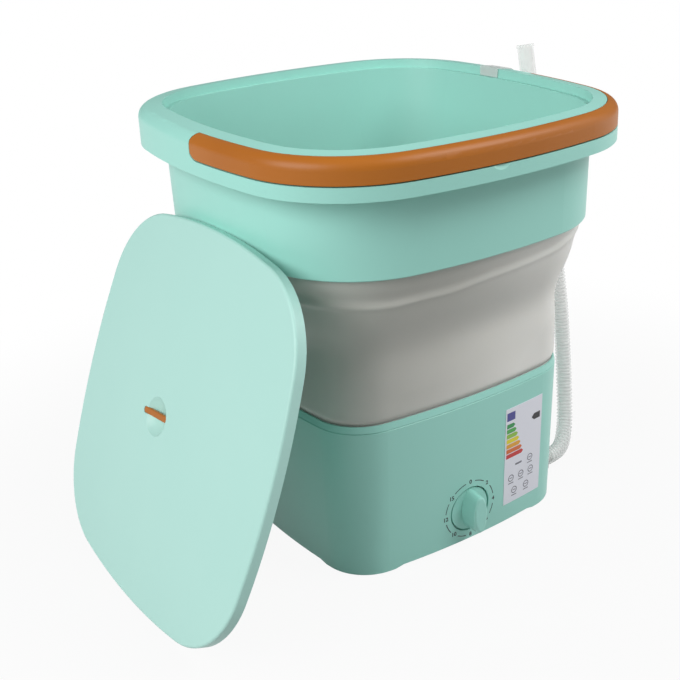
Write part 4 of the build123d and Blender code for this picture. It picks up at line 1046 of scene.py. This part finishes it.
@dataclass
class Studio:
    """The camera, a pale floor and soft lamps.

    Args:
        azimuth: The camera's turn about the machine, in degrees.
        elevation: Its height over the horizon, in degrees.
        roll: How far it leans, in degrees.
        distance: From the camera to its target, in millimetres.
        target: The point that it circles, in millimetres.
        lens: Its focal length for a 36 mm sensor.
        shift: Its shift, as shares of the picture.
        aim: The point that the lamps look at, in millimetres.
        ambient: Strength of the soft light from all round.
        lamps: Each lamp's name, place in millimetres, width in metres and power in watts.
    """

    azimuth: float = -35.10
    elevation: float = 21.30
    roll: float = -1.93
    distance: float = 1136.14
    target: Point = (0.0, 0.0, 215.92)
    lens: float = 60.106
    shift: tuple[float, float] = (-0.05916, -0.06816)
    aim: Point = (0.0, 0.0, 220.0)
    ambient: float = 0.21
    lamps: tuple[tuple[str, Point, float, float], ...] = (
        ("key_lamp", (-1700.0, -230.0, 1180.0), 1.2, 27.0),
        ("top_lamp", (900.0, -1000.0, 1700.0), 1.0, 21.5),
        ("side_lamp", (1900.0, -900.0, 600.0), 1.3, 6.0))

    def camera(self) -> bpy.types.Object:
        """Places the camera where the picture was taken from."""
        a, e, roll = (math.radians(v) for v in (self.azimuth, self.elevation, self.roll))
        back = Vector((math.sin(a) * math.cos(e), -math.cos(a) * math.cos(e), math.sin(e)))
        right = Vector((math.cos(a), math.sin(a), 0.0))
        up = back.cross(right)
        across = right * math.cos(roll) + up * math.sin(roll)
        over = up * math.cos(roll) - right * math.sin(roll)
        data = bpy.data.cameras.new("camera")
        data.sensor_width = 36.0
        data.lens = self.lens
        data.shift_x, data.shift_y = self.shift
        data.clip_start, data.clip_end = 0.05, 30.0
        camera = bpy.data.objects.new("camera", data)
        bpy.context.scene.collection.objects.link(camera)
        turn = Matrix((across, over, back)).transposed().to_4x4()
        camera.matrix_world = Matrix.Translation(at(*self.target) + back * self.distance * MM) @ turn
        bpy.context.scene.camera = camera
        return camera

    def lamp(self, name: str, place: Point, size: float, power: float) -> bpy.types.Object:
        """Hangs a soft square lamp that looks at the machine."""
        data = bpy.data.lights.new(name, "AREA")
        data.shape = "SQUARE"
        data.size = size
        data.energy = power
        lamp = bpy.data.objects.new(name, data)
        bpy.context.scene.collection.objects.link(lamp)
        spot = at(*place)
        ahead = (at(*self.aim) - spot).normalized()
        lamp.matrix_world = Matrix.Translation(spot) @ ahead.to_track_quat("-Z", "Y").to_matrix().to_4x4()
        return lamp

    def floor(self) -> bpy.types.Object:
        """Lays a pale floor that keeps the machine's shadow and fades into the white."""
        board = Board("studio_floor")
        path = board.add("ShaderNodeLightPath")
        rays = ("Is Camera Ray", "Is Glossy Ray", "Is Transmission Ray")
        seen, glossy, through = (board.wire(path, ray) for ray in rays)
        matt = board.add("ShaderNodeBsdfDiffuse", {}, {"Color": (0.45, 0.45, 0.45)})
        glow = board.add("ShaderNodeEmission", {}, {"Color": (1.0, 1.0, 1.0), "Strength": 1.0})
        x, y, _ = board.axes()
        far = ((x - SHIFT_X * MM) * (x - SHIFT_X * MM) + y * y).step(0.05, 0.5)
        share = (seen + glossy + through).at_most(1.0) * (0.93 + far * 0.07)
        mix = board.add("ShaderNodeMixShader", {}, {0: share})
        board.tree.links.new(matt.outputs[0], mix.inputs[1])
        board.tree.links.new(glow.outputs[0], mix.inputs[2])
        output = board.add("ShaderNodeOutputMaterial")
        board.tree.links.new(mix.outputs[0], output.inputs["Surface"])
        mesh = bpy.data.meshes.new("studio_floor")
        mesh.from_pydata([(-6, -6, 0), (6, -6, 0), (6, 6, 0), (-6, 6, 0)], [], [(0, 1, 2, 3)])
        floor = bpy.data.objects.new("studio_floor", mesh)
        floor.data.materials.append(board.material)
        bpy.context.scene.collection.objects.link(floor)
        floor.location.z = -0.0002
        return floor

    def sky(self) -> None:
        """Makes the world a plain soft light, and white behind the machine."""
        world = bpy.data.worlds.new("studio_world")
        world.use_nodes = True
        tree = world.node_tree
        tree.nodes.clear()
        path = tree.nodes.new("ShaderNodeLightPath")
        mix = tree.nodes.new("ShaderNodeMixShader")
        tree.links.new(path.outputs["Is Camera Ray"], mix.inputs[0])
        for place, strength in ((1, self.ambient), (2, 1.0)):
            plain = tree.nodes.new("ShaderNodeBackground")
            plain.inputs["Color"].default_value = (1.0, 1.0, 1.0, 1.0)
            plain.inputs["Strength"].default_value = strength
            tree.links.new(plain.outputs[0], mix.inputs[place])
        output = tree.nodes.new("ShaderNodeOutputWorld")
        tree.links.new(mix.outputs[0], output.inputs["Surface"])
        bpy.context.scene.world = world

    def build(self) -> None:
        """Sets the stage."""
        self.camera()
        self.floor()
        self.sky()
        for lamp in self.lamps:
            self.lamp(*lamp)
        bpy.context.scene.view_settings.view_transform = "Standard"


def main() -> None:
    """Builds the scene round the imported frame."""
    logging.basicConfig(level=logging.INFO, format="%(name)s: %(message)s")
    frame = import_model()
    Studio().build()
    Machine(Wardrobe(frame["nodes"])).build()


if __name__ == "__main__":
    main()
